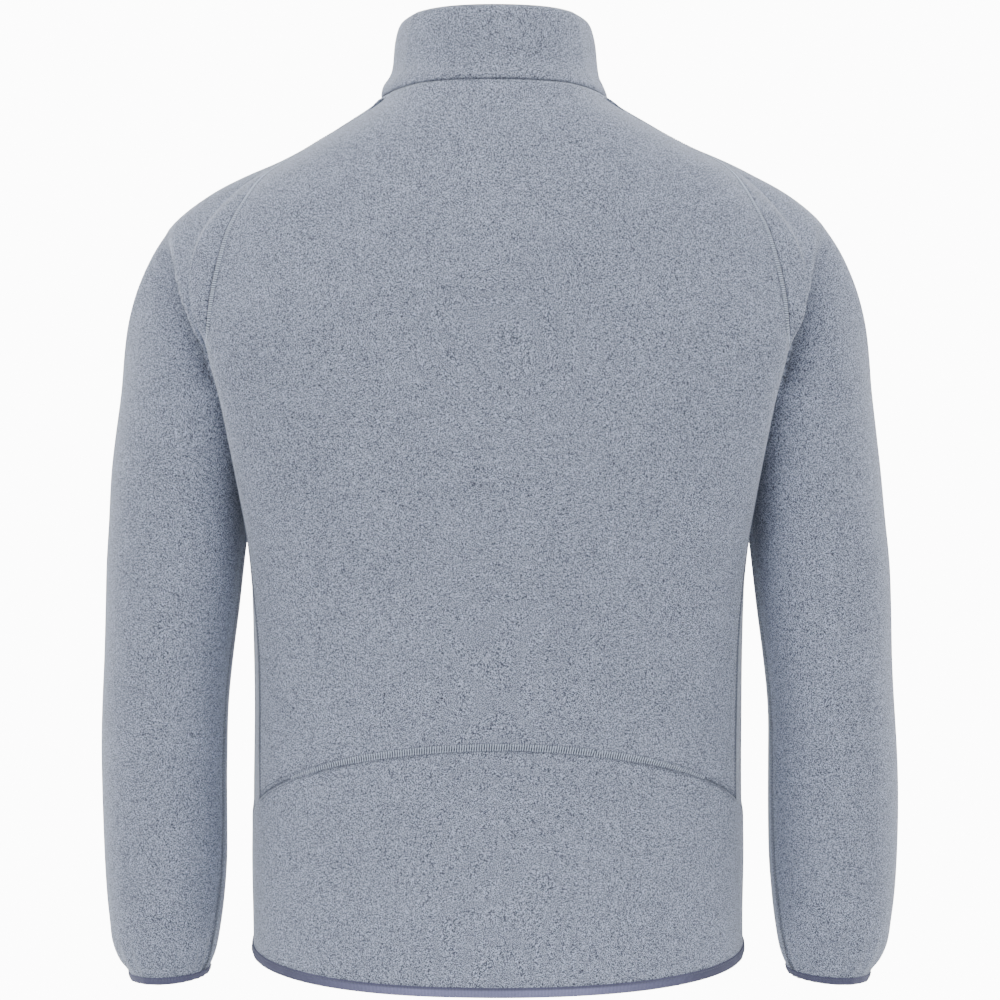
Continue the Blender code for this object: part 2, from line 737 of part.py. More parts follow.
def binding(name, edge, above, normals, height, closed=False):
    """A strip folded round an edge: a channel whose legs lie on both faces of the cloth."""
    down = edge - above
    down -= (down * normals).sum(1)[:, None] * normals
    down /= np.linalg.norm(down, axis=1)[:, None]
    outside = SEAM_GAP
    inside = -FLEECE - SEAM_GAP
    low = SEAM_GAP
    profile = (
        (outside, -height + BINDING),
        (outside + 0.7 * BINDING, -height + BINDING),
        (outside + BINDING, 0.0),
        (outside + 0.4 * BINDING, low + 0.8 * BINDING),
        (inside - 0.4 * BINDING, low + 0.8 * BINDING),
        (inside - BINDING, 0.0),
        (inside - 0.7 * BINDING, -height + BINDING),
        (inside, -height + BINDING),
        (inside, low),
        (outside, low),
    )
    sections = np.stack([edge + out * normals + lower * down for out, lower in profile], 1)
    return swept(name, sections, "binding", closed)


def across_row(row, x):
    """The place on a row of a panel that lies this far from the centre front."""
    return np.array([x, np.interp(x, row[:8, 0], row[:8, 1]), np.interp(x, row[:8, 0], row[:8, 2])])


def outward_of(line):
    """Unit directions out of the jacket, in the plane of the centre front."""
    along = np.gradient(line, axis=0)
    outward = np.column_stack([np.zeros(len(line)), along[:, 2], -along[:, 1]])
    outward /= np.linalg.norm(outward, axis=1)[:, None]
    return outward * np.sign(outward[:, 1:2])


def strip(name, near, far, depth, thick, finish):
    """A flat strip between two lines, set in from the cloth's outer face."""
    inward = -outward_of(near)
    depth = np.reshape(depth, (-1, 1))
    sections = np.stack(
        [
            near + depth * inward,
            far + depth * inward,
            far + (depth + thick) * inward,
            near + (depth + thick) * inward,
        ],
        1,
    )
    return swept(name, sections, finish)


def in_frame(points, frame):
    """World places of (across, outward, up) points in a frame on the zip."""
    place, outward, up = frame
    points = np.asarray(points, float) * MM
    across = np.array([1.0, 0.0, 0.0])
    return place + points[:, :1] * across + points[:, 1:2] * outward + points[:, 2:] * up


def prism(name, outline, near, far, axis, frame, finish):
    """An outline of two coordinates in mm, carried along the third from near to far."""
    sections = [np.insert(np.asarray(outline, float), axis, level, axis=1) for level in (near, far)]
    sections = np.array([in_frame(section, frame) for section in sections])
    return swept(name, sections, finish)


def rounded(half_across, low, high, radius):
    """An outline with four round corners."""
    outline = []
    corners = (
        (half_across, high, 0),
        (-half_across, high, 90),
        (-half_across, low, 180),
        (half_across, low, 270),
    )
    for x, y, start in corners:
        centre_x = x - math.copysign(radius, x)
        centre_y = y - math.copysign(radius, y - (low + high) / 2)
        for step in range(4):
            angle = math.radians(start + 30 * step)
            outline.append((centre_x + radius * math.cos(angle), centre_y + radius * math.sin(angle)))
    return outline


def joined(whole, pieces):
    """Adds pieces to a body with Boolean unions; the pieces themselves stay hidden."""
    for piece in pieces:
        union = whole.modifiers.new(piece.name, "BOOLEAN")
        union.operation = "UNION"
        union.solver = "EXACT"
        union.object = piece
        piece.hide_render = True
        piece.display_type = "WIRE"
    return whole


for old in list(bpy.data.objects):
    bpy.data.objects.remove(old, do_unlink=True)

back = back_grid()
lower_back = lower_back_grid(back[-1])
upper_front = upper_front_grid()
lower_front = lower_front_grid(upper_front[-1])
neck_line = neck_edge(back[0, BACK_COLUMNS // 2 :], upper_front[0])
sleeve = sleeve_grid(neck_line)
neck_half = np.concatenate(
    [upper_front[0], neck_line[::-1][1:-1], back[0, BACK_COLUMNS // 2 :][::-1]]
)
neck = np.concatenate([neck_half, mirrored(neck_half[-2::-1])])
collar = collar_grid(neck)

cloth = Cloth()
cloth.add("back", [back])
cloth.add("lower_back", [lower_back])
cloth.add("front_right", [upper_front, lower_front], flipped=True)
cloth.add("front_left", [mirrored(upper_front), mirrored(lower_front)])
cloth.add("sleeve_right", [sleeve], closed=True)
cloth.add("sleeve_left", [mirrored(sleeve)], closed=True, flipped=True)
cloth.add("collar", [collar])

for name in cloth.panels:
    if name == "collar":
        vertices, faces = cloth.wall(name, COLLAR_PROUD, COLLAR_FLEECE)
    else:
        vertices, faces = cloth.wall(name, 0.0, FLEECE)
    add_object(name, vertices, faces, "fleece")



def round_hem(row):
    """A row of the right front, the lower back and the left front as one line."""
    front, behind = lower_front[row], lower_back[row]
    return np.concatenate([front, behind[-2::-1], mirrored(front)[-2::-1]])


hem_edge = round_hem(-1)
above_hem = round_hem(-2)
binding("hem_binding", hem_edge, above_hem, cloth.normals_of(hem_edge), HEM_BINDING_HEIGHT)
for side, turned in (("right", sleeve), ("left", mirrored(sleeve))):
    normals = cloth.normals_of(turned[-1])
    name = "cuff_binding_" + side
    binding(name, turned[-1], turned[-2], normals, CUFF_BINDING_HEIGHT, closed=True)

rows = list(lower_front[::-1]) + list(upper_front[::-1][1:]) + list(collar[1:, : FRONT_COLUMNS + 1])
edge = np.array([row[0] for row in rows])
ZIP_BOTTOM = edge[0, 2] + 9 * MM
ZIP_TOP = edge[-1, 2] - 3 * MM
heights = np.concatenate([[ZIP_BOTTOM], edge[1:-1, 2], [ZIP_TOP]])


def zip_line(x):
    """A line up the zip at a distance from the centre front, on the cloth's outer face."""
    line = np.array([across_row(row, max(x, ZIP_EDGE)) for row in rows])
    depths = np.interp(heights, line[:, 2], line[:, 1])
    return np.column_stack([np.full(len(heights), x), depths, heights])


tape_depth = FLEECE + 0.4 * MM + 0.6 * MM * ((heights + 70 * MM) / (20 * MM)).clip(0, 1)
for side, sign in (("right", 1), ("left", -1)):
    near = zip_line(CHAIN_HALF_WIDTH + 0.4 * MM)
    far = zip_line(TAPE_EDGE)
    if sign < 0:
        near, far = mirrored(near), mirrored(far)
    strip("zip_tape_" + side, near, far, tape_depth, TAPE_THICK, "zip_tape")
chain_line = zip_line(CHAIN_HALF_WIDTH)
chain_depth = tape_depth - 1.2 * MM
strip("zip_chain", chain_line, mirrored(chain_line), chain_depth, CHAIN_THICK, "zip_coil")

lines = zip_line(0.0)
slider_height = ZIP_TOP - SLIDER_BELOW_TOP
place = np.array([np.interp(slider_height, heights, lines[:, axis]) for axis in range(3)])
outward = outward_of(lines)
outward = np.array([np.interp(slider_height, heights, outward[:, axis]) for axis in range(3)])
outward /= np.linalg.norm(outward)
frame = (place, outward, np.cross(np.array([1.0, 0.0, 0.0]), outward))
slider = prism("zip_slider", rounded(4.6, -5.5, 5.5, 1.6), -2.0, 1.8, 1, frame, "zip_metal")
lugs = []
for side, sign in (("right", 1), ("left", -1)):
    lug = [(sign * 2.1, 0.8), (sign * 3.5, 0.8), (sign * 3.5, 4.8), (sign * 2.1, 4.8)]
    lugs.append(prism("lug_" + side, lug, 1.0, 5.4, 1, frame, "zip_metal"))
joined(slider, lugs)

turned = [
    (PULL_PIVOT[0] + 1.3 * math.cos(a), PULL_PIVOT[1] + 1.3 * math.sin(a))
    for a in np.radians(np.arange(0, 360, 30))
]
pull = prism("zip_pull", turned, -1.8, 1.8, 0, frame, "zip_metal")
tab = [(-1.75, 2.8), (-1.75, -0.2), (-3.3, -1.6), (-3.5, -20.5), (-2.3, -23.2), (0, -24)]
tab += [(-x, u) for x, u in tab[-2::-1]]
joined(pull, [prism("tab", tab, 2.95, 4.45, 1, frame, "zip_metal")])
for side, sign in (("right", 1), ("left", -1)):
    stop = [(sign * 3.6, 6.0), (sign * 5.4, 6.0), (sign * 5.4, 8.2), (sign * 3.6, 8.2)]
    prism("zip_top_stop_" + side, stop, -3.2, -1.6, 1, frame, "zip_metal")
bottom = lines[0] * np.array([1, 1, 0]) + np.array([0, 0, ZIP_BOTTOM])
bottom_frame = (bottom, np.array([0.0, 1.0, 0.0]), np.array([0.0, 0.0, 1.0]))
prism("zip_box", rounded(6.2, -9.4, -0.5, 1.0), -4.9, -1.0, 1, bottom_frame, "zip_tape")
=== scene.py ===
"""Looks of the fleece zip jacket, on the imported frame.

The first part repeats the surfaces of the CAD source, at the same named sizes. The second
makes finer sheets on them, with folds, bindings, stitches and the zip's coils, and adds the
materials, the light and the camera. +X is the side seen on the right, -Y the back.
"""

import math

import bpy
import numpy as np
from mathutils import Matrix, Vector
from mathutils.bvhtree import BVHTree
from mathutils.kdtree import KDTree


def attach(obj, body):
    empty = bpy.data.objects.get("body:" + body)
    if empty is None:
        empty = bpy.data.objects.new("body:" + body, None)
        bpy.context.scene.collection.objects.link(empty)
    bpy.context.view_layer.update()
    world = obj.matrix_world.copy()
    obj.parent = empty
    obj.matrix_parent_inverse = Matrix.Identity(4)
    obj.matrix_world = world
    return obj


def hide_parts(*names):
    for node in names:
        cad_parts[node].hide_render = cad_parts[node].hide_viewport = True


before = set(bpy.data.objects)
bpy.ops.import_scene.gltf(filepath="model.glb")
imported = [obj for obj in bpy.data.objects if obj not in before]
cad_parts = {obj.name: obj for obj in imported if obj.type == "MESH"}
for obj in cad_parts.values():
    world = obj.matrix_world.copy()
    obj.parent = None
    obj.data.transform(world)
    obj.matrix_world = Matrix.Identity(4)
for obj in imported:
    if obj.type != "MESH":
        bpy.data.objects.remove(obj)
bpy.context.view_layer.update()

MM = 0.001
SEAM_GAP = 0.3 * MM
FLEECE = 2.5 * MM
COLLAR_PROUD = 0.8 * MM
COLLAR_FLEECE = 3.0 * MM
BINDING = 1.1 * MM
HEM_BINDING_HEIGHT = 7.0 * MM
CUFF_BINDING_HEIGHT = 5.5 * MM
ZIP_EDGE = 8.0 * MM
SQUARENESS = 0.8
# Sewn edges press together, so that no light comes through a seam.
SHUT = -0.1 * MM
# Places on a line that is read off again at even steps.
DENSE = 400
# Points nearer than this are one, and a corner's mitre is divided by this at least.
SAME_PLACE = 1e-7
SHARPEST_MITRE = 0.4

BACK_COLUMNS = 20
FRONT_COLUMNS = 10
RAGLAN_ROWS = 11
FRONT_RAGLAN_ROWS = 9
UNDERARM_STEPS = 3
NECK_STEPS = 4
SIDE_ROWS = 9
TAIL_ROWS = 6
CAP_ROWS = 11

# Sections of the body from the neck down to the hem.
BODY = np.array(
    [
        # height, half_width, widest_y, back_y, front_y, recess, raglan_x
        (10, 76, 9, -79.5, 42, 0, 71),
        (5, 84, 9, -81, 45, 0, 77),
        (-3.4, 93, 9, -84, 50, 0, 87.5),
        (-19, 115, 9, -90, 59, 0, 110.6),
        (-36, 145, 9, -96, 70, 0, 141.5),
        (-51.6, 173, 9, -100, 80, 0, 167),
        (-69, 201, 9, -105, 90, 0, 186),
        (-84, 218, 9, -108.5, 97, 0, 194),
        (-104, 234, 8, -113, 106, 0, 204),
        (-123, 240, 0, -117, 113, 5, 209.3),
        (-148, 238, -20, -121, 120, 15, 214.7),
        (-173, 226, -55, -122, 126, 24, 217.3),
        (-194.7, 216.6, -68, -122, 130, 30, 216.6),
        (-215, 211, -68, -121.5, 131.5, 31, 211),
        (-234.5, 206.8, -67, -120.5, 132, 27, 206.8),
        (-270, 200.8, -60, -118, 132, 17, 200.8),
        (-302, 195.5, -50, -115, 130, 8, 195.5),
        (-350, 189.5, -30, -109, 127, 2, 189),
        (-400, 188, -13, -105, 123, 0, 184),
        (-450, 187.4, -4, -104, 121, 0, 181),
        (-500, 187.3, 0, -106, 120, 0, 180),
        (-560, 187.3, 0, -110, 120, 0, 180),
        (-680, 187, 0, -112, 118, 0, 180),
    ]
)
BODY_NAMES = ("height", "half_width", "widest_y", "back_y", "front_y", "recess", "raglan_x")
RECESS_END_Y = 67 * MM

# The front raglan seam, from the neck down to the armhole.
FRONT_RAGLAN = np.array(
    [
        # height, x
        (-24, 78),
        (-42, 97),
        (-75, 126),
        (-105, 148),
        (-135, 164),
        (-165, 174),
        (-188, 177),
    ]
)
FRONT_RAGLAN_NAMES = ("height", "x")

# How much each wish counts when the sleeve's cap is faired.
ALONG_WEIGHT = 1.0
ROUND_WEIGHT = 1.0
TANGENT_WEIGHT = 4.0
AWAY_WEIGHT = 2.0
FIRST_STEP = 16 * MM
OUTLINE_WEIGHT = 20.0
BESIDE_WEIGHT = 8.0
# How far the columns behind the cap's top one stay below the shoulder line, near the neck.
BESIDE_DROPS = (2.0 * MM, 4.5 * MM, 8.0 * MM)
BESIDE_ROWS = 4

# How much the sleeve's edge on the collar faces up, against its neighbours' directions.
NECK_LIFT = 1.2
NECK_BACK_HEIGHT = 8.5 * MM
NECK_RAGLAN_HEIGHT = 5 * MM
NECK_FRONT_HEIGHT = -62 * MM
NECK_SIDE = np.array([86.3, 2.0, 0.0]) * MM
ARMPIT_HEIGHT = -194.7 * MM
ARMHOLE_LEVEL = -200 * MM
UNDERARM_HEIGHT = -215 * MM
UNDERARM_TURN = 106.7
SIDE_SEAM_END = (71.5, -530 * MM)
TAIL_CORNER = (80.5, -538.5 * MM)
TAIL_END_TURN = 88.0
HEM_SEAM_TURN = 83.0
ARCH_TOP = -488.5 * MM
ARCH_DROP = 50 * MM
ARCH_POWER = 1.6
HEM_BACK = -670.7 * MM
HEM_SIDE_RISE = 25.5 * MM
HEM_FRONT_RISE = 12 * MM
HEM_POWER = 1.7

# The side-back seam, from its lower end up to the armpit.
SIDE_SEAM = np.array(
    [
        # height, turn
        (-530, 71.5),
        (-420, 73),
        (-360, 79),
        (-300, 89),
        (-194.7, 90),
    ]
)

# The shoulder line, from the neck over the shoulder's tip to the upper arm.
SHOULDER = np.array(
    [
        # x, height
        (86.3, 0),
        (110, -15.3),
        (136.8, -30.6),
        (167.7, -45.8),
        (200.6, -61.1),
        (227.3, -76.4),
        (244.1, -91.7),
        (256.3, -107),
        (265.1, -122.2),
        (271.2, -137.5),
        (276.2, -152.8),
        (280, -168),
        (281.9, -183.4),
        (283.6, -198.6),
        (285.6, -214),
        (287.5, -229),
    ]
)

# Rings of the sleeve below its cap, each from its outer to its inner edge.
ARM = np.array(
    [
        # outer_height, outer_x, inner_height, inner_x, middle_y, half_depth
        (-229, 287.5, -246, 180, 16, 58),
        (-258, 290.8, -266, 182.2, 17, 59),
        (-288, 294.3, -292, 186, 18, 59),
        (-320, 297.1, -321, 190.2, 18, 58),
        (-352, 299.7, -352, 193.8, 17, 57),
        (-386, 300.8, -386, 198, 16, 56),
        (-424, 302, -424, 203, 16, 55),
        (-464, 303.6, -464, 207, 17, 54),
        (-505, 305, -505, 208, 20, 53),
        (-545, 305.6, -545, 208.3, 24, 52),
        (-580, 305, -579, 209, 28, 50),
        (-608, 303.5, -606, 211, 32, 48),
        (-628, 301.5, -625, 213, 35, 45.5),
        (-645, 299, -642, 215.5, 37, 42.5),
        (-659, 293.5, -654.5, 218.5, 38.5, 39),
        (-667.5, 287.5, -663, 221.8, 39.5, 36),
        (-674, 285, -669.5, 224.5, 40, 34.5),
    ]
)
ARM_NAMES = ("outer_height", "outer_x", "inner_height", "inner_x", "middle_y", "half_depth")

# The fold that runs from the shoulder's tip down to the armpit, and its roll.
FOLD = np.array(
    [
        # height, x, roll
        (-85, 249, 0),
        (-101, 243, 1.5),
        (-123.5, 238.5, 5),
        (-148, 232.5, 9),
        (-173, 225, 11),
        (-196, 216.6, 8),
        (-240, 206, 0),
    ]
)
FOLD_NAMES = ("height", "x", "roll")
FOLD_WIDTH = 9 * MM

# The collar from its seam to its edge: how far in towards the top ring it has come.
COLLAR = np.array(
    [
        # share, inward
        (0, 0),
        (12, 26),
        (27, 53),
        (50, 63),
        (76, 72),
        (92, 86),
        (100, 100),
    ]
)
COLLAR_TOP = {"half_width": 73 * MM, "back_y": -72 * MM, "front_y": 76 * MM, "middle_y": 4 * MM}
COLLAR_TOP_HEIGHT = 64.5 * MM
COLLAR_TOP_DROP = 62 * MM
COLLAR_TOP_POWER = 2.2


def unit(vectors):
    return vectors / np.linalg.norm(vectors, axis=-1, keepdims=True)


def slope(value, start, end):
    """0 up to start and 1 from end on, straight between them; end may be the lower one."""
    return ((value - start) / (end - start)).clip(0, 1)


def eased(share):
    return share * share * (3 - 2 * share)


def bell(value, middle, width):
    return np.exp(-(((value - middle) / width) ** 2))


def run_along(points):
    """The length run up to each point of a line."""
    return np.concatenate([[0], np.cumsum(np.linalg.norm(np.diff(points, axis=0), axis=1))])


def read_off(points, keys, at):
    """Points of a line, read at other values of its keys."""
    return np.stack([np.interp(at, keys, points[:, axis]) for axis in range(3)], -1)


def curve_through(keys, values, at):
    """Piecewise cubic that passes each value and never overshoots between two."""
    steps = np.diff(keys)
    rises = np.diff(values) / steps
    slopes = np.empty(len(keys))
    slopes[0] = rises[0]
    slopes[-1] = rises[-1]
    before, after = rises[:-1], rises[1:]
    weight_1 = 2 * steps[1:] + steps[:-1]
    weight_2 = steps[1:] + 2 * steps[:-1]
    same = before * after > 0
    safe_1 = np.where(same, before, 1)
    safe_2 = np.where(same, after, 1)
    mean = (weight_1 + weight_2) / (weight_1 / safe_1 + weight_2 / safe_2)
    slopes[1:-1] = np.where(same, mean, 0)
    at = np.clip(np.asarray(at, float), keys[0], keys[-1])
    i = np.clip(np.searchsorted(keys, at) - 1, 0, len(steps) - 1)
    t = (at - keys[i]) / steps[i]
    start = (1 + 2 * t) * (1 - t) ** 2 * values[i] + t * (1 - t) ** 2 * steps[i] * slopes[i]
    end = t * t * (3 - 2 * t) * values[i + 1] - t * t * (1 - t) * steps[i] * slopes[i + 1]
    return start + end


def smooth_along(values, at):
    """Catmull-Rom curve through evenly keyed rows of values."""
    first, last = 2 * values[0] - values[1], 2 * values[-1] - values[-2]
    padded = np.concatenate([[first], values, [last]])
    i = np.clip(np.floor(at).astype(int), 0, len(values) - 2)
    t = (at - i).reshape((-1,) + (1,) * (values.ndim - 1))
    a, b, c, d = padded[i], padded[i + 1], padded[i + 2], padded[i + 3]
    ends = (c - a) * t * (1 - t) ** 2 / 2 - (d - b) * t * t * (1 - t) / 2
    return b * (1 + 2 * t) * (1 - t) ** 2 + c * t * t * (3 - 2 * t) + ends


def column(table, names, name, height):
    """A column of a table, in metres, at any height; the first column is the height."""
    order = np.argsort(table[:, 0])
    keys = table[order, 0] * MM
    return curve_through(keys, table[order, names.index(name)] * MM, height)


def on_body(name, height):
    return column(BODY, BODY_NAMES, name, height)


def body(turn, height):
    """Points of the body's outer face on the +X side."""
    turn, height = np.broadcast_arrays(np.asarray(turn, float), np.asarray(height, float))
    half, widest, back, front, recess = (on_body(name, height) for name in BODY_NAMES[1:6])
    angle = np.radians(turn)
    across = np.sin(angle).clip(0) ** SQUARENESS
    along = np.abs(np.cos(angle)) ** SQUARENESS
    y = widest + np.where(np.cos(angle) > 0, (back - widest), (front - widest)) * along
    share = slope(y, widest, RECESS_END_Y)
    pressed = np.where(turn > 90, recess * np.sin(math.pi * share) ** 2, 0)
    return np.stack([half * across - pressed, y, height], -1)


def turn_at(x, height):
    """The turn, up to 90, at which the body is this wide."""
    share = (x / on_body("half_width", height)).clip(0, 1)
    return np.degrees(np.arcsin(share ** (1 / SQUARENESS)))


def zip_turn(height):
    """The turn of the front's edge at the zip."""
    return 180 - turn_at(np.array(ZIP_EDGE), height)


def even(points, count, dense):
    """Parameters that divide a dense run of points into count stretches of one length."""
    run = run_along(points)
    return np.interp(np.linspace(0, run[-1], count + 1), run, dense)


def evened(turns, heights, count):
    """(turn, height) of places that divide a seam down the body into even stretches."""
    at = even(body(turns, heights), count, heights)
    return np.interp(-at, -heights, turns), at


def arch(turn):
    return ARCH_TOP - ARCH_DROP * (turn / TAIL_CORNER[0]) ** ARCH_POWER


def hem(turn):
    turn = np.asarray(turn, float)
    back = HEM_SIDE_RISE * (turn.clip(0, 90) / 90) ** HEM_POWER
    bend = HEM_POWER * HEM_SIDE_RISE / HEM_FRONT_RISE
    front = HEM_FRONT_RISE * (1 - (1 - slope(turn, 90, 180)) ** bend)
    return HEM_BACK + back + front


def back_raglan():
    """(turn, height) down the back raglan seam to the armpit."""
    heights = np.linspace(NECK_RAGLAN_HEIGHT, ARMPIT_HEIGHT, DENSE)
    turns = turn_at(on_body("raglan_x", heights), heights)
    turns[-1] = 90
    return evened(turns, heights, RAGLAN_ROWS)


def front_raglan():
    """(turn, height) down the front raglan seam to the armhole's lower edge."""
    heights = np.linspace(FRONT_RAGLAN[0, 0], FRONT_RAGLAN[-1, 0], DENSE) * MM
    x = column(FRONT_RAGLAN, FRONT_RAGLAN_NAMES, "x", heights)
    return evened(180 - turn_at(x, heights), heights, FRONT_RAGLAN_ROWS)


def underarm(front_end, back_end):
    """(turn, height) under the arm, from the front raglan's end to the back one's."""
    share = np.linspace(0, 1, 2 * UNDERARM_STEPS + 1)
    line = []
    for start, middle, end in zip(front_end, (UNDERARM_TURN, UNDERARM_HEIGHT), back_end):
        values = curve_through(np.array([0, 0.5, 1]), np.array([start, middle, end]), share)
        values[[0, -1]] = start, end
        line.append(values)
    return tuple(line)


def side_seam():
    """(turn, height) from the armpit down the side-back seam."""
    heights = np.linspace(ARMPIT_HEIGHT, SIDE_SEAM_END[1], DENSE)
    keys, turns = SIDE_SEAM[:, 0] * MM, SIDE_SEAM[:, 1]
    return evened(curve_through(keys, turns, heights), heights, SIDE_ROWS)


def tail_side():
    """(turn, height) from the arched seam's end down to the hem."""
    share = np.linspace(0, 1, TAIL_ROWS + 1)
    turns = TAIL_CORNER[0] + (TAIL_END_TURN - TAIL_CORNER[0]) * (1 - (1 - share) ** 2)
    heights = TAIL_CORNER[1] + (hem(TAIL_END_TURN) - TAIL_CORNER[1]) * share
    return turns, heights


RAGLAN = back_raglan()
RAGLAN_FRONT = front_raglan()
UNDERARM = underarm([line[-1] for line in RAGLAN_FRONT], [line[-1] for line in RAGLAN])
SIDE = side_seam()
TAIL = tail_side()


def mirrored(points):
    return points * np.array([-1.0, 1.0, 1.0])


def both_halves(half):
    """Rows from the centre to one side, carried on to the other side."""
    return np.concatenate([mirrored(half[:, :0:-1]), half], axis=1)


def back_grid():
    """Rows from the neck to the arched seam; columns from -X to +X."""
    side_turn = np.concatenate([RAGLAN[0], SIDE[0][1:]])
    side_height = np.concatenate([RAGLAN[1], SIDE[1][1:]])
    share = np.linspace(0, 1, BACK_COLUMNS // 2 + 1)
    rows = []
    for turn, height in zip(side_turn, side_height):
        down = (NECK_RAGLAN_HEIGHT - height) / (NECK_RAGLAN_HEIGHT - SIDE_SEAM_END[1])
        centre = NECK_BACK_HEIGHT + (ARCH_TOP - NECK_BACK_HEIGHT) * down
        turns = turn * share
        line = centre + (height - centre) * share**ARCH_POWER
        rows.append(body(turns, line))
    rows[-1] = body(SIDE_SEAM_END[0] * share, arch(SIDE_SEAM_END[0] * share))
    rows[-1][-1] = body(SIDE[0][-1], SIDE[1][-1])
    return both_halves(np.array(rows))


def lower_back_grid(arch_row):
    """Rows from the arched seam to the hem, with one more column beyond each end."""
    share = np.linspace(0, 1, BACK_COLUMNS // 2 + 1)
    rows = []
    for row in range(TAIL_ROWS + 1):
        down = row / TAIL_ROWS
        turns = np.append(
            share * (SIDE_SEAM_END[0] + (HEM_SEAM_TURN - SIDE_SEAM_END[0]) * down), TAIL[0][row]
        )
        top = np.append(arch(share * SIDE_SEAM_END[0]), TAIL[1][0])
        heights = top + (hem(turns) - top) * down
        heights[-1] = TAIL[1][row]
        rows.append(body(turns, heights))
    grid = both_halves(np.array(rows))
    grid[0, 1:-1] = arch_row
    return grid


def upper_front_grid():
    """Rows from the neck to the armhole; columns from the zip to the raglan seam."""
    share = np.linspace(0, 1, FRONT_COLUMNS + 1)
    rows = []
    count = FRONT_RAGLAN_ROWS
    for row in range(count + 1):
        turn, height = RAGLAN_FRONT[0][row], RAGLAN_FRONT[1][row]
        down = (row / count) ** 0.9
        centre = NECK_FRONT_HEIGHT + (ARMHOLE_LEVEL - NECK_FRONT_HEIGHT) * down
        line = centre + (height - centre) * share**ARCH_POWER
        edge = zip_turn(line[0])
        rows.append(body(edge + (turn - edge) * share, line))
    return np.array(rows)


def lower_front_grid(top_row):
    """Rows from the armhole's level to the hem; columns from the zip to the side."""
    top = np.concatenate([top_row, body(*UNDERARM)[1:]])
    side_turn = np.concatenate([SIDE[0], TAIL[0]])
    side_height = np.concatenate([SIDE[1], TAIL[1]])
    edge = zip_turn(ARMHOLE_LEVEL)
    to_armhole = edge + (UNDERARM[0][0] - edge) * np.linspace(0, 1, FRONT_COLUMNS + 1)
    top_turn = np.concatenate([to_armhole, UNDERARM[0][1:]])
    hem_turn = np.linspace(zip_turn(HEM_BACK), side_turn[-1], len(top_turn))
    rows = [top]
    for turn, height in zip(side_turn[1:], side_height[1:]):
        down = (side_height[0] - height) / (side_height[0] - side_height[-1])
        turns = top_turn + (hem_turn - top_turn) * down**0.7
        turns[0] = zip_turn(height)
        heights = top[:, 2] + (hem(hem_turn) - top[:, 2]) * down
        turns[-1], heights[-1] = turn, height
        rows.append(body(turns, heights))
    return np.array(rows)


def bent(points, start, end, count):
    """A curve through points, evenly divided, between two of their numbers."""
    dense = np.linspace(start, end, 200)
    return smooth_along(points, even(smooth_along(points, dense), count, dense))


def neck_edge(back_row, front_row):
    """The sleeve's edge on the collar, from the back raglan seam to the front one."""
    points = np.array(
        [back_row[-4], back_row[-1], NECK_SIDE, front_row[-1], front_row[-4]]
    )
    line = bent(points, 1, 3, NECK_STEPS)
    line[0], line[-1] = back_row[-1], front_row[-1]
    return line


def armhole(neck_line):
    """The closed edge that the sleeve starts from, and the body's normals along it."""
    middle = UNDERARM_STEPS
    turns = np.concatenate([UNDERARM[0][middle:-1], RAGLAN[0][::-1]])
    heights = np.concatenate([UNDERARM[1][middle:-1], RAGLAN[1][::-1]])
    first = len(turns)
    turns = np.concatenate([turns, RAGLAN_FRONT[0], UNDERARM[0][1:middle]])
    heights = np.concatenate([heights, RAGLAN_FRONT[1], UNDERARM[1][1:middle]])
    points = body(turns, heights)
    normals = np.cross(body(turns, heights - MM) - points, body(turns + 1, heights) - points)
    normals = unit(normals)
    neck = neck_line[1:-1]
    share = np.linspace(0, 1, len(neck) + 2)[1:-1, None]
    between = (1 - share) * normals[first - 1] + share * normals[first]
    between[:, 2] += NECK_LIFT * share[:, 0] * (1 - share[:, 0]) * 4
    points = np.concatenate([points[:first], neck, points[first:]])
    normals = np.concatenate([normals[:first], between, normals[first:]])
    return points, unit(normals), first, len(neck)


def arm_ring(row, angle):
    """One ring of the sleeve; the angle runs from the inner side over the back."""
    values = dict(zip(ARM_NAMES, ARM[row] * MM))
    share = (1 - np.cos(angle)) / 2
    x = values["inner_x"] + (values["outer_x"] - values["inner_x"]) * share
    y = values["middle_y"] - values["half_depth"] * np.sin(angle)
    z = values["inner_height"] + (values["outer_height"] - values["inner_height"]) * share
    return np.stack([x, y, z], -1)


def shoulder_line():
    """The top of the cap, from the neck to the first ring of the arm."""
    last = len(SHOULDER) - 1
    at = np.linspace(0, last, DENSE)
    x, z = smooth_along(SHOULDER * MM, at).T
    y = np.interp(at, [0, last], [NECK_SIDE[1], ARM[0, 4] * MM])
    points = np.stack([x, y, z], -1)
    numbers = np.arange(DENSE, dtype=float)
    return read_off(points, numbers, even(points, CAP_ROWS, numbers))


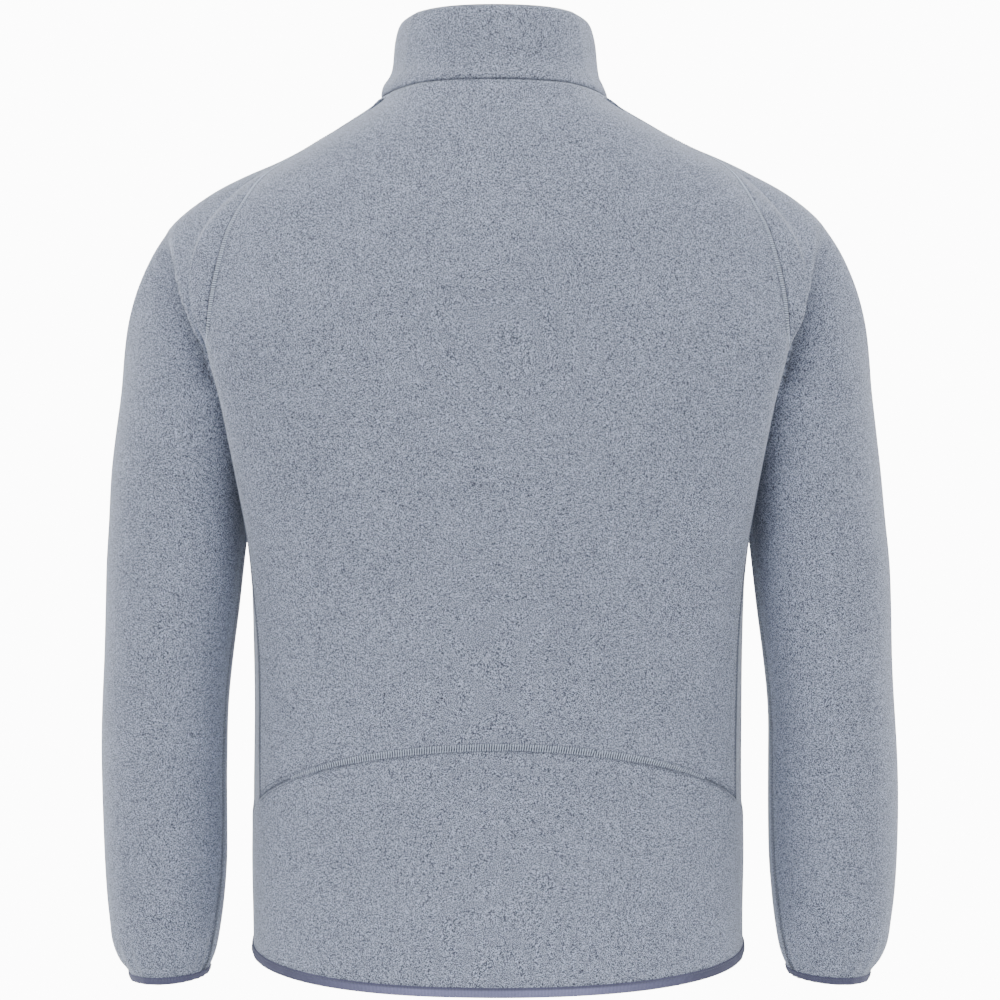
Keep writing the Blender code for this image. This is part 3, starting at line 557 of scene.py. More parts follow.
def faired(start, normals, first_ring, second_ring, top):
    """Rows of the cap: the smoothest sheet from the armhole to the arm's first rings.

    Least squares over the second differences both ways. The sheet leaves the body's
    panels in their own surface, and its top column follows the shoulder line.
    """
    count = len(start)
    fixed = {0: start, CAP_ROWS: first_ring, CAP_ROWS + 1: second_ring}
    lines, targets = [], []

    def ask(terms, direction, target, weight):
        """Asks that the sum of factor * (direction . point) be the target."""
        line = np.zeros((CAP_ROWS - 1) * count * 3)
        for row, place, factor in terms:
            if row in fixed:
                target = target - factor * fixed[row][place % count] @ direction
            else:
                at = ((row - 1) * count + place % count) * 3
                line[at : at + 3] += factor * direction
        lines.append(weight * line)
        targets.append(weight * target)

    away = unit(np.cross(np.roll(start, -1, axis=0) - np.roll(start, 1, axis=0), normals))
    axes = np.eye(3)
    outline = shoulder_line()
    for place in range(count):
        for row in range(1, CAP_ROWS + 1):
            down = ((row - 1, place, 1), (row, place, -2), (row + 1, place, 1))
            for axis in axes:
                ask(down, axis, 0.0, ALONG_WEIGHT)
        for row in range(1, CAP_ROWS):
            round_arm = ((row, place - 1, 1), (row, place, -2), (row, place + 1, 1))
            for axis in axes:
                ask(round_arm, axis, 0.0, ROUND_WEIGHT)
        if min(place, count - place) >= UNDERARM_STEPS:
            first_step = ((1, place, 1), (0, place, -1))
            ask(first_step, normals[place], 0.0, TANGENT_WEIGHT)
            from_neck = min(1, (abs(place - top) - NECK_STEPS // 2) / 5)
            if from_neck > 0:
                ask(first_step, away[place], FIRST_STEP * from_neck, AWAY_WEIGHT)
    for row in range(1, CAP_ROWS):
        for axis in axes:
            ask(((row, top, 1),), axis, outline[row] @ axis, OUTLINE_WEIGHT)
    along = np.gradient(outline, axis=0)
    for row in range(1, BESIDE_ROWS + 1):
        above = unit(np.array([-along[row, 2], 0, along[row, 0]]))
        for step, drop in enumerate(BESIDE_DROPS, 1):
            ask(((row, top - step, 1),), above, outline[row] @ above - drop, BESIDE_WEIGHT)
    solved = np.linalg.lstsq(np.array(lines), np.array(targets), rcond=None)[0]
    return np.concatenate([start[None], solved.reshape(-1, count, 3), first_ring[None]])


def sleeve_grid(neck_line):
    """Rows from the armhole to the cuff; columns round the arm, from the underarm."""
    start, normals, first, neck_count = armhole(neck_line)
    run = run_along(np.concatenate([start, start[:1]]))
    angle = 2 * math.pi * run[:-1] / run[-1]
    rings = [arm_ring(row, angle) for row in range(len(ARM))]
    cap = faired(start, normals, rings[0], rings[1], first + neck_count // 2)
    return rolled_fold(np.concatenate([cap, rings[1:]]))


def rolled_fold(rows):
    """The roll of cloth inside the fold that leads from the shoulder to the armpit."""
    x, y, z = rows[..., 0], rows[..., 1], rows[..., 2]
    fold = column(FOLD, FOLD_NAMES, "x", z)
    roll = column(FOLD, FOLD_NAMES, "roll", z)
    inside = 1 / (1 + np.exp(2.5 * (x - fold) / FOLD_WIDTH))
    seam = on_body("raglan_x", z)
    room = ((x - seam) / np.maximum(fold - seam, 1 * MM)).clip(0, 1)
    weight = inside * room**0.7 * eased(slope(y, FOLD_WIDTH, -2 * FOLD_WIDTH))
    weight[0] = 0
    rows[..., 1] -= roll * weight
    return rows


def collar_top(angle):
    """The collar's upper edge at an angle round the neck, 0 at the centre back."""
    across = np.sin(angle)
    along = np.cos(angle)
    middle = COLLAR_TOP["middle_y"]
    back = (middle - COLLAR_TOP["back_y"]) * along
    front = (COLLAR_TOP["front_y"] - middle) * along
    y = middle - np.where(along > 0, back, front)
    drop = COLLAR_TOP_DROP * ((1 - along) / 2) ** COLLAR_TOP_POWER
    return np.stack([COLLAR_TOP["half_width"] * across, y, COLLAR_TOP_HEIGHT - drop], -1)


def collar_grid(neck):
    """Rows from the neck seam to the top edge; columns from the +X zip edge round."""
    half = len(neck) // 2
    run = run_along(neck)
    angle = np.pi * (1 - run / run[half])
    edge = math.asin(ZIP_EDGE / COLLAR_TOP["half_width"])
    angle = angle * (math.pi - edge) / math.pi
    top = collar_top(np.abs(angle))
    top[:, 0] *= np.sign(angle) + (angle == 0)
    rows = []
    for share, inward in COLLAR / 100:
        row = neck + (top - neck) * np.array([inward, inward, share])
        row[0, 0], row[-1, 0] = ZIP_EDGE, -ZIP_EDGE
        rows.append(row)
    rows[0] = neck
    return np.array(rows)


class Cloth:
    """Panels as quads over shared points, with one normal for each place on a seam."""

    def __init__(self):
        self.panels = {}
        self.normals = {}

    def add(self, name, grids, closed=False, flipped=False):
        """Grids of one panel, which may share rows, with their outer faces outward."""
        points, index, quads = [], {}, []
        for grid in grids:
            numbers = np.array([[self.number(p, points, index) for p in row] for row in grid])
            if closed:
                numbers = np.concatenate([numbers, numbers[:, :1]], axis=1)
            for a, b in zip(numbers[:-1], numbers[1:]):
                for i in range(len(a) - 1):
                    quad = [a[i], b[i], b[i + 1], a[i + 1]]
                    quads.append([quad[0], quad[3], quad[2], quad[1]] if flipped else quad)
        points, quads = np.array(points), np.array(quads)
        self.panels[name] = (points, quads)
        corners = points[quads]
        faces = np.cross(corners[:, 2] - corners[:, 0], corners[:, 3] - corners[:, 1])
        sums = np.zeros_like(points)
        for corner in range(4):
            np.add.at(sums, quads[:, corner], faces)
        for point, normal in zip(points, unit(sums)):
            key = self.key(point)
            self.normals[key] = self.normals.get(key, np.zeros(3)) + normal

    @staticmethod
    def key(point):
        return tuple(np.round(np.asarray(point) / SAME_PLACE).astype(np.int64))

    def number(self, point, points, index):
        key = self.key(point)
        if key not in index:
            index[key] = len(points)
            points.append(np.array(point, float))
        return index[key]

    def normals_of(self, points):
        return unit(np.array([self.normals[self.key(point)] for point in points]))

    def rim(self, name):
        """The panel's open edge, as each of its points and the next one."""
        quads = self.panels[name][1]
        sides = {side: True for quad in quads for side in zip(quad, np.roll(quad, -1))}
        return {a: b for a, b in sides if (b, a) not in sides}

    def wall(self, name, proud, deep):
        """Vertices and faces of a panel's closed wall, with its edges pressed shut."""
        points, quads = self.panels[name]
        normals = self.normals_of(points)
        rim = self.rim(name)
        before = {b: a for a, b in rim.items()}
        drawn = points.copy()
        for vertex, after in rim.items():
            ends = ((before[vertex], vertex), (vertex, after))
            inward = [unit(np.cross(normals[vertex], points[b] - points[a])) for a, b in ends]
            mitre = (inward[0] + inward[1]) / max(SHARPEST_MITRE, 1 + inward[0] @ inward[1])
            drawn[vertex] = points[vertex] + SHUT / 2 * mitre
        count = len(points)
        faces = []
        for a, b, c, d in quads:
            faces += [[a, b, c], [a, c, d]]
            faces += [[c + count, b + count, a + count], [d + count, c + count, a + count]]
        for a, b in rim.items():
            if self.key(points[a]) < self.key(points[b]):
                faces += [[b, a, a + count], [b, a + count, b + count]]
            else:
                faces += [[b, a, b + count], [a, a + count, b + count]]
        return np.concatenate([drawn + proud * normals, drawn - deep * normals]), faces


def across_row(row, x):
    """The place on a row of a panel that lies this far from the centre front."""
    near = row[:8]
    return np.array([x, *(np.interp(x, near[:, 0], near[:, axis]) for axis in (1, 2))])


def outward_of(line):
    """Unit directions out of the jacket, in the plane of the centre front."""
    along = np.gradient(line, axis=0)
    outward = unit(np.column_stack([np.zeros(len(line)), along[:, 2], -along[:, 1]]))
    return outward * np.sign(outward[:, 1:2])


# ---------------------------------------------------------------- finer sheets


# Extra places near an edge, in cells, for its rounding.
CLOSE_TO_EDGE = np.array([0.025, 0.06, 0.11])


def places(cells, each, low=True, high=True):
    """Places along a row of cells, each divided, and closer together at its two ends."""
    at = [np.linspace(0, cells, cells * each + 1)]
    if low:
        at.append(CLOSE_TO_EDGE)
    if high:
        at.append(cells - CLOSE_TO_EDGE)
    return np.unique(np.concatenate(at).round(9))


def finer(grid, down, across):
    return smooth_along(smooth_along(grid, down).transpose(1, 0, 2), across).transpose(1, 0, 2)


def finer_sleeve(grid, down, each, corners):
    """The sleeve's closed rows; the armhole's edge keeps its corners."""
    count = grid.shape[1]
    across = np.linspace(0, count, count * each + 1)[:-1]
    wrapped = np.concatenate([grid[:, -2:], grid, grid[:, :3]], axis=1)
    rows = smooth_along(wrapped, down).transpose(1, 0, 2)
    dense = smooth_along(rows, across + 2).transpose(1, 0, 2)
    edge = dense[0].copy()
    for start, end in zip(corners, corners[1:] + [corners[0] + count]):
        at = np.where(across < start, across + count, across)
        inside = (at >= start) & (at <= end)
        values = grid[0][np.arange(start, end + 1) % count]
        edge[inside] = smooth_along(values, at[inside] - start)
    change = edge - dense[0]
    for row in np.nonzero(down < 1)[0]:
        dense[row] += (1 - down[row]) ** 2 * change
    return dense


# Folds, drawn as soft troughs (-) and ridges (+) on the side that they face.
FOLDS = (
    # faces, x0, z0, x1, z1, bend, width, depth, in mm
    ("back", -232, -210, -262, -236, 6, 13, -1.8),
    ("back", -228, -238, -270, -262, 5, 14, 1.2),
    ("back", 236, -205, 268, -232, -6, 13, -1.8),
    ("back", 232, -236, 272, -268, -6, 14, 1.3),
    ("back", -215, -330, -262, -318, 6, 16, -1.6),
    ("back", -222, -372, -282, -352, -6, 17, -1.5),
    ("back", 222, -340, 270, -322, 6, 16, -1.5),
    ("back", 226, -392, 286, -372, -6, 18, -1.6),
    ("back", -226, -450, -284, -436, 5, 18, -1.1),
    ("back", 230, -470, 286, -452, 5, 18, -1.2),
    ("back", -150, -60, -60, -150, 20, 30, 0.8),
    ("back", 150, -66, 50, -160, -18, 32, 0.8),
    ("back", -120, -330, 40, -380, 22, 34, -0.8),
    ("back", 140, -290, 20, -345, -20, 36, 0.7),
    ("back", -160, -560, 10, -596, 12, 26, -0.7),
    ("back", 160, -548, 30, -600, -14, 28, 0.6),
    ("front", 190, -205, 120, -150, 8, 9, -3.0),
    ("front", 184, -222, 112, -196, 8, 12, 2.0),
    ("front", 196, -232, 140, -250, -8, 12, -2.2),
    ("front", -192, -208, -118, -148, -8, 9, -2.8),
    ("front", -186, -226, -108, -206, -8, 12, 2.0),
    ("front", -198, -236, -146, -262, 8, 12, -2.0),
    ("front", 240, -150, 226, -215, 6, 7, -3.0),
    ("front", -242, -150, -226, -218, -6, 7, -3.0),
    ("front", 216, -330, 282, -300, 8, 14, -2.6),
    ("front", 214, -352, 284, -334, -8, 13, 1.8),
    ("front", 218, -376, 280, -372, 8, 15, -2.2),
    ("front", -214, -326, -280, -306, 8, 14, -2.5),
    ("front", -216, -356, -284, -330, -8, 13, 1.7),
    ("front", -218, -384, -282, -366, 8, 15, -2.2),
    ("front", 60, -300, 66, -470, 12, 24, -1.2),
    ("front", -58, -280, -70, -450, -12, 26, -1.2),
    ("front", 120, -420, 100, -600, 14, 26, -1.0),
    ("front", -126, -400, -104, -610, -12, 28, -1.0),
)
# Gathers above the cuffs: their number round the sleeve, and in mm their reach, depth
# and middle height.
GATHERS = {"count": 23, "height": 16.0, "depth": 0.9, "above": -656.0}


def fold_depth(points, normals):
    """How far the folds lift the cloth off its smooth form, at points of a panel."""
    x, y, z = points.T / MM
    total = np.zeros(len(points))
    for faces, x0, z0, x1, z1, bend, width, depth in FOLDS:
        along = np.array([x1 - x0, z1 - z0], float)
        length = np.hypot(*along)
        along /= length
        run = (x - x0) * along[0] + (z - z0) * along[1]
        share = run / length
        arc = bend * 4 * share * (1 - share)
        off = -(x - x0) * along[1] + (z - z0) * along[0] - arc
        taper = bell(np.clip(np.abs(share - 0.5) * 2 - 0.35, 0, None), 0, 0.4)
        turned = -normals[:, 1] if faces == "back" else normals[:, 1]
        total += depth * bell(off, 0, width) * taper * (turned * 1.6 + 0.2).clip(0, 1)
    return total * MM


def fold_line(x, z):
    """Where the armpit fold lies at each height; it's a little further out on the left."""
    further = 2.5 + np.where(x < 0, 6.0 * slope(z / MM, -215, -155), 0)
    return column(FOLD, FOLD_NAMES, "x", z) + further * MM


def crisp(grid):
    """Spans the cloth flatter from the raglan seam to the fold, where it drops to the arm."""
    grid = grid.copy()
    x, y, z = np.abs(grid[..., 0]), grid[..., 1], grid[..., 2]
    seam = on_body("raglan_x", z)
    flat = body(turn_at(seam, z), z)[..., 1] + 0.36 * (x - seam)
    change = (flat - y).clip(-14 * MM, 9 * MM)
    inside = 1 / (1 + np.exp((x - fold_line(grid[..., 0], z)) / (1.1 * MM)))
    room = eased(slope(x - seam, 0, 9 * MM))
    long = slope(z / MM, -62, -110) * slope(z / MM, -216, -190)
    grid[..., 1] += 0.88 * change * inside * room * eased(long) * slope(y / MM, 14, -8)
    return grid


def off_fold(points):
    """How far out of the armpit fold points lie, in mm, and whether behind the arm, 0 to 1."""
    x, y, z = points.T
    return (np.abs(x) - fold_line(x, z)) / MM, slope(y / MM, 10, -6)


def fold_step(points):
    """The roll's lip beside the armpit fold, and the cloth that dives under it."""
    off, behind = off_fold(points)
    height = points[:, 2] / MM
    long = slope(height, -98, -124) * slope(height, -226, -202)
    step = 0.5 + 0.5 * np.tanh(off / 1.2)
    lift = 1.8 * bell(off, 0, 4.2) * (1 - step)
    dive = -5.6 * np.exp(-off.clip(0, None) / 11.0) * step
    return (lift + dive) * long * behind * MM


def fold_shade(points):
    """How much the cloth beside the armpit fold lies in its shadow; the lip is below 0."""
    off, behind = off_fold(points)
    height = points[:, 2] / MM
    long = slope(height, -104, -194) * slope(height, -226, -212)
    under = np.exp(-off.clip(0, None) / 8.0) * (off > 0.2)
    lit = -0.34 * bell(off, -1.0, 1.1)
    return ((0.26 + 0.5 * long) * long**0.3 * under + lit * (long > 0)) * behind


def moved(grid, *moves):
    """A copy of a grid with its axes moved, each by an array in mm."""
    grid = grid.copy()
    for axis, move in moves:
        grid[..., axis] += move * MM
    return grid


def swayed(grid):
    """The sleeves' outer sides are not quite alike: the left is fuller high up."""
    x, z = grid[..., 0] / MM, grid[..., 2] / MM
    left = -3.6 * bell(z, -250, 80) + 2.4 * bell(z, -610, 70)
    right = 2.8 * bell(z, -560, 120)
    return moved(grid, (0, np.where(x < 0, left, right) * slope(np.abs(x), 235, 285)))


def leaned(grid):
    """The collar's slight lean to the left, its fuller base there, and uneven shoulders."""
    x, y, z = np.moveaxis(grid, -1, 0) / MM
    far = np.abs(x)
    behind = slope(y, 60, 15)
    near = behind * (far < 120)
    lean = -2.6 * eased(slope(z, -26, 4)) * eased(behind)
    base = np.where(x < 0, -4.2, 1.2) * bell(z, 11, 8) * near * slope(far, 40, 80)
    lower = -2.6 * near * slope(far, 55, 80) * bell(z, 1, 14)
    shoulder = np.where(x < 0, -1.8, 2.8) * bell(far, 168, 30) * bell(z, -49, 26)
    return moved(grid, (0, lean + base), (2, lower + shoulder))


def slanted(grid):
    """The cuffs' edges hang lower at the back, square to the bent forearm."""
    y, z = grid[..., 1] / MM, grid[..., 2] / MM
    return moved(grid, (2, eased(slope(z, -610, -665)) * 0.11 * (y - 38).clip(-36, 36)))


def undulation(points):
    """Slow, uneven swelling of soft cloth, up to about a millimetre."""
    x, y, z = points.T
    waves = (
        (31.0, 7.0, 23.0, 0.3, 0.34),
        (-17.0, 19.0, 39.0, 1.7, 0.30),
        (47.0, -11.0, -13.0, 2.9, 0.24),
        (63.0, 29.0, 57.0, 4.1, 0.16),
        (-83.0, 41.0, 29.0, 0.9, 0.12),
    )
    total = sum(height * np.sin(a * x + b * y + c * z + start) for a, b, c, start, height in waves)
    return total * MM


def gathered(points):
    """Small gathers where the binding draws in the cuffs."""
    height = (points[:, 2] / MM - GATHERS["above"]) / GATHERS["height"]
    angle = np.arctan2(points[:, 1] - 40 * MM, np.abs(points[:, 0]) - 252 * MM)
    wave = np.sin(GATHERS["count"] * angle + 1.6 * np.sin(3 * angle))
    wave *= 0.7 + 0.3 * np.sin(5 * angle + 1)
    return GATHERS["depth"] * MM * wave * bell(height, 0, 1) * (height < 3)


def tree_of(points):
    tree = KDTree(len(points))
    for i, place in enumerate(points):
        tree.insert(Vector(place), i)
    tree.balance()
    return tree


def distance_to(others, points):
    tree = tree_of(others)
    return np.array([tree.find(Vector(place))[2] for place in points])


class Shell:
    """A panel's closed shell, and the tree that lines of stitches are laid on."""

    def __init__(self, name, cloth, deep, extra=0.0, rounding=1.1):
        self.points = cloth.panels[name][0]
        normals = cloth.normals_of(self.points)
        self.edge = distance_to(self.points[sorted(cloth.rim(name))], self.points)
        proud = fold_depth(self.points, normals) + undulation(self.points) + extra
        if name.startswith("sleeve"):
            proud += gathered(self.points) + fold_step(self.points)
        rolled = rounding * MM * bell(self.edge, 0, 1.6 * MM)
        self.vertices, self.faces = cloth.wall(
            name, (proud - rolled)[:, None], (deep - proud - 0.5 * rolled)[:, None]
        )
        count = len(self.points)
        outer = [face for face in self.faces if max(face) < count]
        self.tree = BVHTree.FromPolygons([Vector(v) for v in self.vertices[:count]], outer)


class Face:
    """The outer faces of one shell, or of the two that a seam joins, read as one."""

    def __init__(self, *shells):
        self.shells = shells

    def lay(self, points):
        """Points dropped onto the face, and its normals there."""
        placed, normals = [], []
        for point in points:
            found = [shell.tree.find_nearest(Vector(point)) for shell in self.shells]
            place, normal, _, _ = min(found, key=lambda hit: hit[3])
            placed.append(place)
            normals.append(normal)
        return np.array(placed), np.array(normals)


def piece(name, vertices, faces, finish):
    mesh = bpy.data.meshes.new(name)
    corners = np.array([len(face) for face in faces], np.int32)
    mesh.vertices.add(len(vertices))
    mesh.vertices.foreach_set("co", np.asarray(vertices, np.float32).ravel())
    mesh.loops.add(int(corners.sum()))
    mesh.loops.foreach_set("vertex_index", np.concatenate(faces).astype(np.int32))
    mesh.polygons.add(len(faces))
    starts = np.concatenate([[0], np.cumsum(corners)[:-1]]).astype(np.int32)
    mesh.polygons.foreach_set("loop_start", starts)
    mesh.update(calc_edges=True)
    mesh.validate()
    mesh.shade_smooth()
    mesh.materials.append(finish)
    made = bpy.data.objects.new(name, mesh)
    bpy.context.scene.collection.objects.link(made)
    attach(made, "jacket")
    return made


def tube(line, normals, radius, sides=5):
    """Vertices and faces of a closed thread along a line."""
    along = unit(np.gradient(line, axis=0))
    across = unit(np.cross(along, normals))
    up = np.cross(across, along)
    angle = 2 * math.pi * np.arange(sides)[None, :, None] / sides
    ring = np.cos(angle) * across[:, None] + np.sin(angle) * up[:, None]
    vertices = (line[:, None] + radius * ring).reshape(-1, 3)
    faces = []
    for i in range(len(line) - 1):
        for j in range(sides):
            k = (j + 1) % sides
            faces.append([i * sides + j, i * sides + k, (i + 1) * sides + k, (i + 1) * sides + j])
    faces.append(list(range(sides))[::-1])
    faces.append([(len(line) - 1) * sides + j for j in range(sides)])
    return vertices, faces


def gather_meshes(parts):
    vertices, faces, start = [], [], 0
    for some, their in parts:
        vertices.append(some)
        faces += [[i + start for i in face] for face in their]
        start += len(some)
    return np.concatenate(vertices), faces


def resampled(line, pitch):
    run = run_along(line)
    count = max(2, int(round(run[-1] / pitch)))
    return read_off(line, run, np.linspace(0, run[-1], count + 1))


def beside(face, line, offset):
    """A line moved sideways on a face, towards +across (normal x along)."""
    placed, normals = face.lay(line)
    across = unit(np.cross(normals, np.gradient(placed, axis=0)))
    return face.lay(placed + offset * across)[0]


def stitch(start, end, normal, gap, rise, radius):
    """One arched thread between two points; rise is its height at five places, in mm."""
    share = np.linspace(gap, 1 - gap, 5)[:, None]
    line = start + (end - start) * share + np.array(rise)[:, None] * MM * normal
    return tube(line, np.broadcast_to(normal, line.shape), radius)


# A lockstitch: the gap at each end, and its rise in mm.
ARCHED = (0.14, (-0.32, 0.12, 0.22, 0.12, -0.32))
# A bar of cover thread: its rise in mm at six places.
BAR_RISE = 0.25 * np.array([-0.5, 0.55, 0.9, 0.9, 0.55, -0.5])


def stitches(face, line, offset, pitch, radius):
    """A row of lockstitches beside a line, with their ends sunk in the pile; all in mm."""
    placed, normals = face.lay(resampled(beside(face, line, offset * MM), pitch * MM))
    return [
        stitch(start, end, normal, *ARCHED, radius * MM)
        for start, end, normal in zip(placed[:-1], placed[1:], normals[:-1])
    ]


def ladder(face, line, low, high, pitch, radius, slant):
    """Cover threads: bars across a seam, from one needle row to the other; all in mm."""
    placed, normals = face.lay(resampled(line, pitch * MM))
    along = unit(np.gradient(placed, axis=0))
    across = unit(np.cross(normals, along))
    low, high = (np.broadcast_to(side, (len(placed),)) for side in (low, high))
    share = np.linspace(0, 1, len(BAR_RISE))[:, None]
    lift = BAR_RISE[:, None] * MM
    bars = []
    for i in range(len(placed)):
        off = (low[i] + (high[i] - low[i]) * share) * MM
        bar, normal = face.lay(placed[i] + across[i] * off + along[i] * slant * MM * (share - 0.5))
        bars.append(tube(bar + lift * normal, normal, radius * MM))
    return bars


# ------------------------------------------------------------------- materials


class Nodes:
    """A material's nodes, made and joined in one call each."""

    def __init__(self, name):
        self.made = bpy.data.materials.new(name)
        self.made.use_nodes = True
        self.tree = self.made.node_tree
        self.shader = self.tree.nodes["Principled BSDF"]
        self.place = self.add("TexCoord").outputs["Object"]

    def add(self, kind, inputs=(), **settings):
        node = self.tree.nodes.new("ShaderNode" + kind)
        for name, value in settings.items():
            setattr(node, name, value)
        for name, value in dict(inputs).items():
            self.join(value, node.inputs[name])
        return node

    def join(self, value, socket):
        if isinstance(value, bpy.types.NodeSocket):
            self.tree.links.new(value, socket)
        else:
            socket.default_value = value

    def math(self, operation, a, b=0.0, clamp=False):
        return self.add("Math", {0: a, 1: b}, operation=operation, use_clamp=clamp).outputs[0]

    def times(self, a, b):
        return self.math("MULTIPLY", a, b)

    def noise(self, scale, detail=2.0, roughness=0.5):
        inputs = {"Vector": self.place, "Scale": scale, "Detail": detail, "Roughness": roughness}
        return self.add("TexNoise", inputs).outputs["Fac"]

    def attribute(self, name):
        return self.add("Attribute", attribute_name=name).outputs["Fac"]

    def between(self, value, low, high, to_low=0.0, to_high=1.0):
        inputs = {"Value": value, "From Min": low, "From Max": high}
        inputs |= {"To Min": to_low, "To Max": to_high}
        return self.add("MapRange", inputs).outputs[0]

    def mixed(self, share, first, second, blend="MIX"):
        node = self.add("Mix", data_type="RGBA", blend_type=blend)
        self.join(share, node.inputs[0])
        self.join(first, node.inputs[6])
        self.join(second, node.inputs[7])
        return node.outputs[2]

    def scaled(self, colour, share):
        return self.add("VectorMath", {0: colour, "Scale": share}, operation="SCALE").outputs[0]

    def bump(self, strength, distance, height):
        inputs = {"Strength": strength, "Distance": distance, "Height": height}
        return self.add("Bump", inputs).outputs["Normal"]

    def finish(self, **inputs):
        for name, value in inputs.items():
            self.join(value, self.shader.inputs[name.replace("_", " ")])
        return self.made


def grey(value):
    return (value, value, value, 1.0)


FLEECE_DARK = (0.070, 0.075, 0.096, 1)
FLEECE_MIDDLE = (0.236, 0.276, 0.400, 1)
FLEECE_LIGHT = (0.625, 0.695, 0.885, 1)
# The near black that painted shadow and the sleeve seam's dark line are mixed towards.
FLEECE_SHADOW_AND_SEAM = (0.030, 0.031, 0.034, 1)


def fleece_material(name):
    """Brushed microfleece: a pebbled pile with lighter and darker tips.

    Three numbers of each vertex shade it: rim is the distance from the panel's edge in mm,
    sewn is 1 under a seam's threads, and deep is painted shade: up to 1 for the painted
    shadow in the slit beside the body and in the armpit fold, and for the sleeve seam's
    threads, and below 0 for a painted highlight on the fold's lip.
    """
    n = Nodes(name)
    grain = n.noise(2700.0, 1.0)
    tone = n.math("ADD", n.times(n.noise(1550.0, 1.0), 0.66), n.times(grain, 0.34))
    ramp = n.add("ValToRGB", {"Fac": n.between(tone, 0.459, 0.541)})
    ramp.color_ramp.elements[0].color = FLEECE_DARK
    ramp.color_ramp.elements[1].color = FLEECE_LIGHT
    ramp.color_ramp.elements.new(0.5).color = FLEECE_MIDDLE
    shade = n.between(n.noise(42.0, 3.0, 0.6), 0.3, 0.7, 0.965, 1.035)
    # Painted shade from deep: shadow in the slit and the armpit fold above 0, a highlight on the
    # fold's lip below 0.
    deep = n.attribute("deep")
    for factor in (
        n.between(n.noise(7.0), 0.3, 0.7, 0.975, 1.025),
        n.between(n.attribute("rim"), 0.0, 1.5, 0.42, 1.0),
        n.between(n.attribute("sewn"), 0.0, 1.0, 1.0, 0.5),
        n.between(deep, -1.0, 0.0, 2.2, 1.0),
    ):
        shade = n.times(shade, factor)
    # Painted shadow: deep mixes the pile towards a near black, also along the sleeve seam.
    shadow_and_seam_share = n.math("MULTIPLY", deep, 0.9, clamp=True)
    inputs = {"Vector": n.place, "Scale": 620.0, "Smoothness": 0.7}
    pebble = n.add("TexVoronoi", inputs, feature="SMOOTH_F1").outputs["Distance"]
    height = n.math("ADD", n.times(pebble, -0.9), n.times(grain, 0.6))
    height = n.math("ADD", height, n.times(n.noise(190.0), 0.7))
    return n.finish(
        Base_Color=n.scaled(n.mixed(shadow_and_seam_share, ramp.outputs["Color"], FLEECE_SHADOW_AND_SEAM), shade),
        Roughness=0.95,
        Specular_IOR_Level=0.12,
        Sheen_Weight=1.0,
        Sheen_Roughness=0.34,
        Sheen_Tint=(0.80, 0.86, 0.98, 1),
        Normal=n.bump(0.6, 0.0007, height),
    )


def ribbed_material(name, colour, light, pitch, bump_depth):
    """A narrow elastic: fine ribs across its run, which is the map's first coordinate.

    It is darker where the vertices' number turned is 1, which is where it faces away: painted
    shade, also over the cuffs and the upper lip. The zip's tapes have neither, and stay evenly
    speckled.
    """
    n = Nodes(name)
    along = n.add("UVMap", uv_map="run").outputs["UV"]
    run = n.add("SeparateXYZ", {0: along}).outputs[0]
    wave = n.between(n.math("SINE", n.times(run, 2 * math.pi / pitch)), -1.0, 1.0)
    speck = n.noise(900.0, 2.0, 0.6)
    tone = n.math("ADD", n.times(wave, 0.55), n.times(speck, 0.45))
    slow = n.between(n.noise(16.0), 0.3, 0.7, 0.9, 1.1)
    # Painted shade: turned darkens the elastic where it faces away.
    shade = n.times(slow, n.between(n.attribute("turned"), 0.0, 1.0, 1.0, 0.36))
    return n.finish(
        Base_Color=n.scaled(n.mixed(tone, colour, light), shade),
        Roughness=0.72,
        Specular_IOR_Level=0.3,
        Sheen_Weight=0.25,
        Sheen_Roughness=0.4,
        Sheen_Tint=(0.80, 0.84, 1.0, 1),
        Normal=n.bump(0.6, bump_depth, n.math("ADD", wave, n.times(speck, 0.5))),
    )


def thread_material(name, colour):
    n = Nodes(name)
    twist = n.noise(1800.0)
    return n.finish(
        Base_Color=n.scaled(colour, n.between(twist, 0.3, 0.7, 0.8, 1.15)),
        Roughness=0.6,
        Specular_IOR_Level=0.35,
        Sheen_Weight=0.3,
        Sheen_Roughness=0.4,
        Normal=n.bump(0.4, 0.00015, twist),
    )


def plastic_material(name, colour, roughness):
    n = Nodes(name)
    fine = n.noise(1300.0, 3.0, 0.6)
    return n.finish(
        Base_Color=n.scaled(colour, n.between(fine, 0.3, 0.7, 0.88, 1.12)),
        Roughness=n.between(fine, 0.3, 0.7, roughness - 0.06, roughness + 0.08),
        Normal=n.bump(0.25, 0.00008, fine),
    )


def enamel_material(name, colour):
    """Painted zinc: satin paint, a little worn and lighter in places."""
    n = Nodes(name)
    fine = n.noise(700.0, 3.0, 0.6)
    worn = n.between(n.noise(260.0, 4.0, 0.7), 0.62, 0.74)
    return n.finish(
        Base_Color=n.mixed(n.times(worn, 0.5), colour, (0.42, 0.43, 0.46, 1)),
        Metallic=0.75,
        Roughness=n.between(fine, 0.3, 0.7, 0.28, 0.44),
        Normal=n.bump(0.2, 0.00006, fine),
    )


FLEECE_LOOK = fleece_material("fleece")
BINDING_LOOK = ribbed_material(
    "binding", (0.120, 0.130, 0.240, 1), (0.400, 0.405, 0.680, 1), 1.05 * MM, 0.00022
)
TAPE_LOOK = ribbed_material(
    "zip_tape_cloth", (0.055, 0.062, 0.090, 1), (0.120, 0.132, 0.178, 1), 0.8 * MM, 0.00012
)
THREAD_LOOK = thread_material("thread", (0.73, 0.82, 1.0))
DARK_THREAD_LOOK = thread_material("thread_dark", (0.155, 0.175, 0.235))
COIL_LOOK = plastic_material("coil", (0.085, 0.094, 0.135), 0.42)
METAL_LOOK = enamel_material("enamel", (0.115, 0.122, 0.150, 1))


# ---------------------------------------------------------------------- pieces

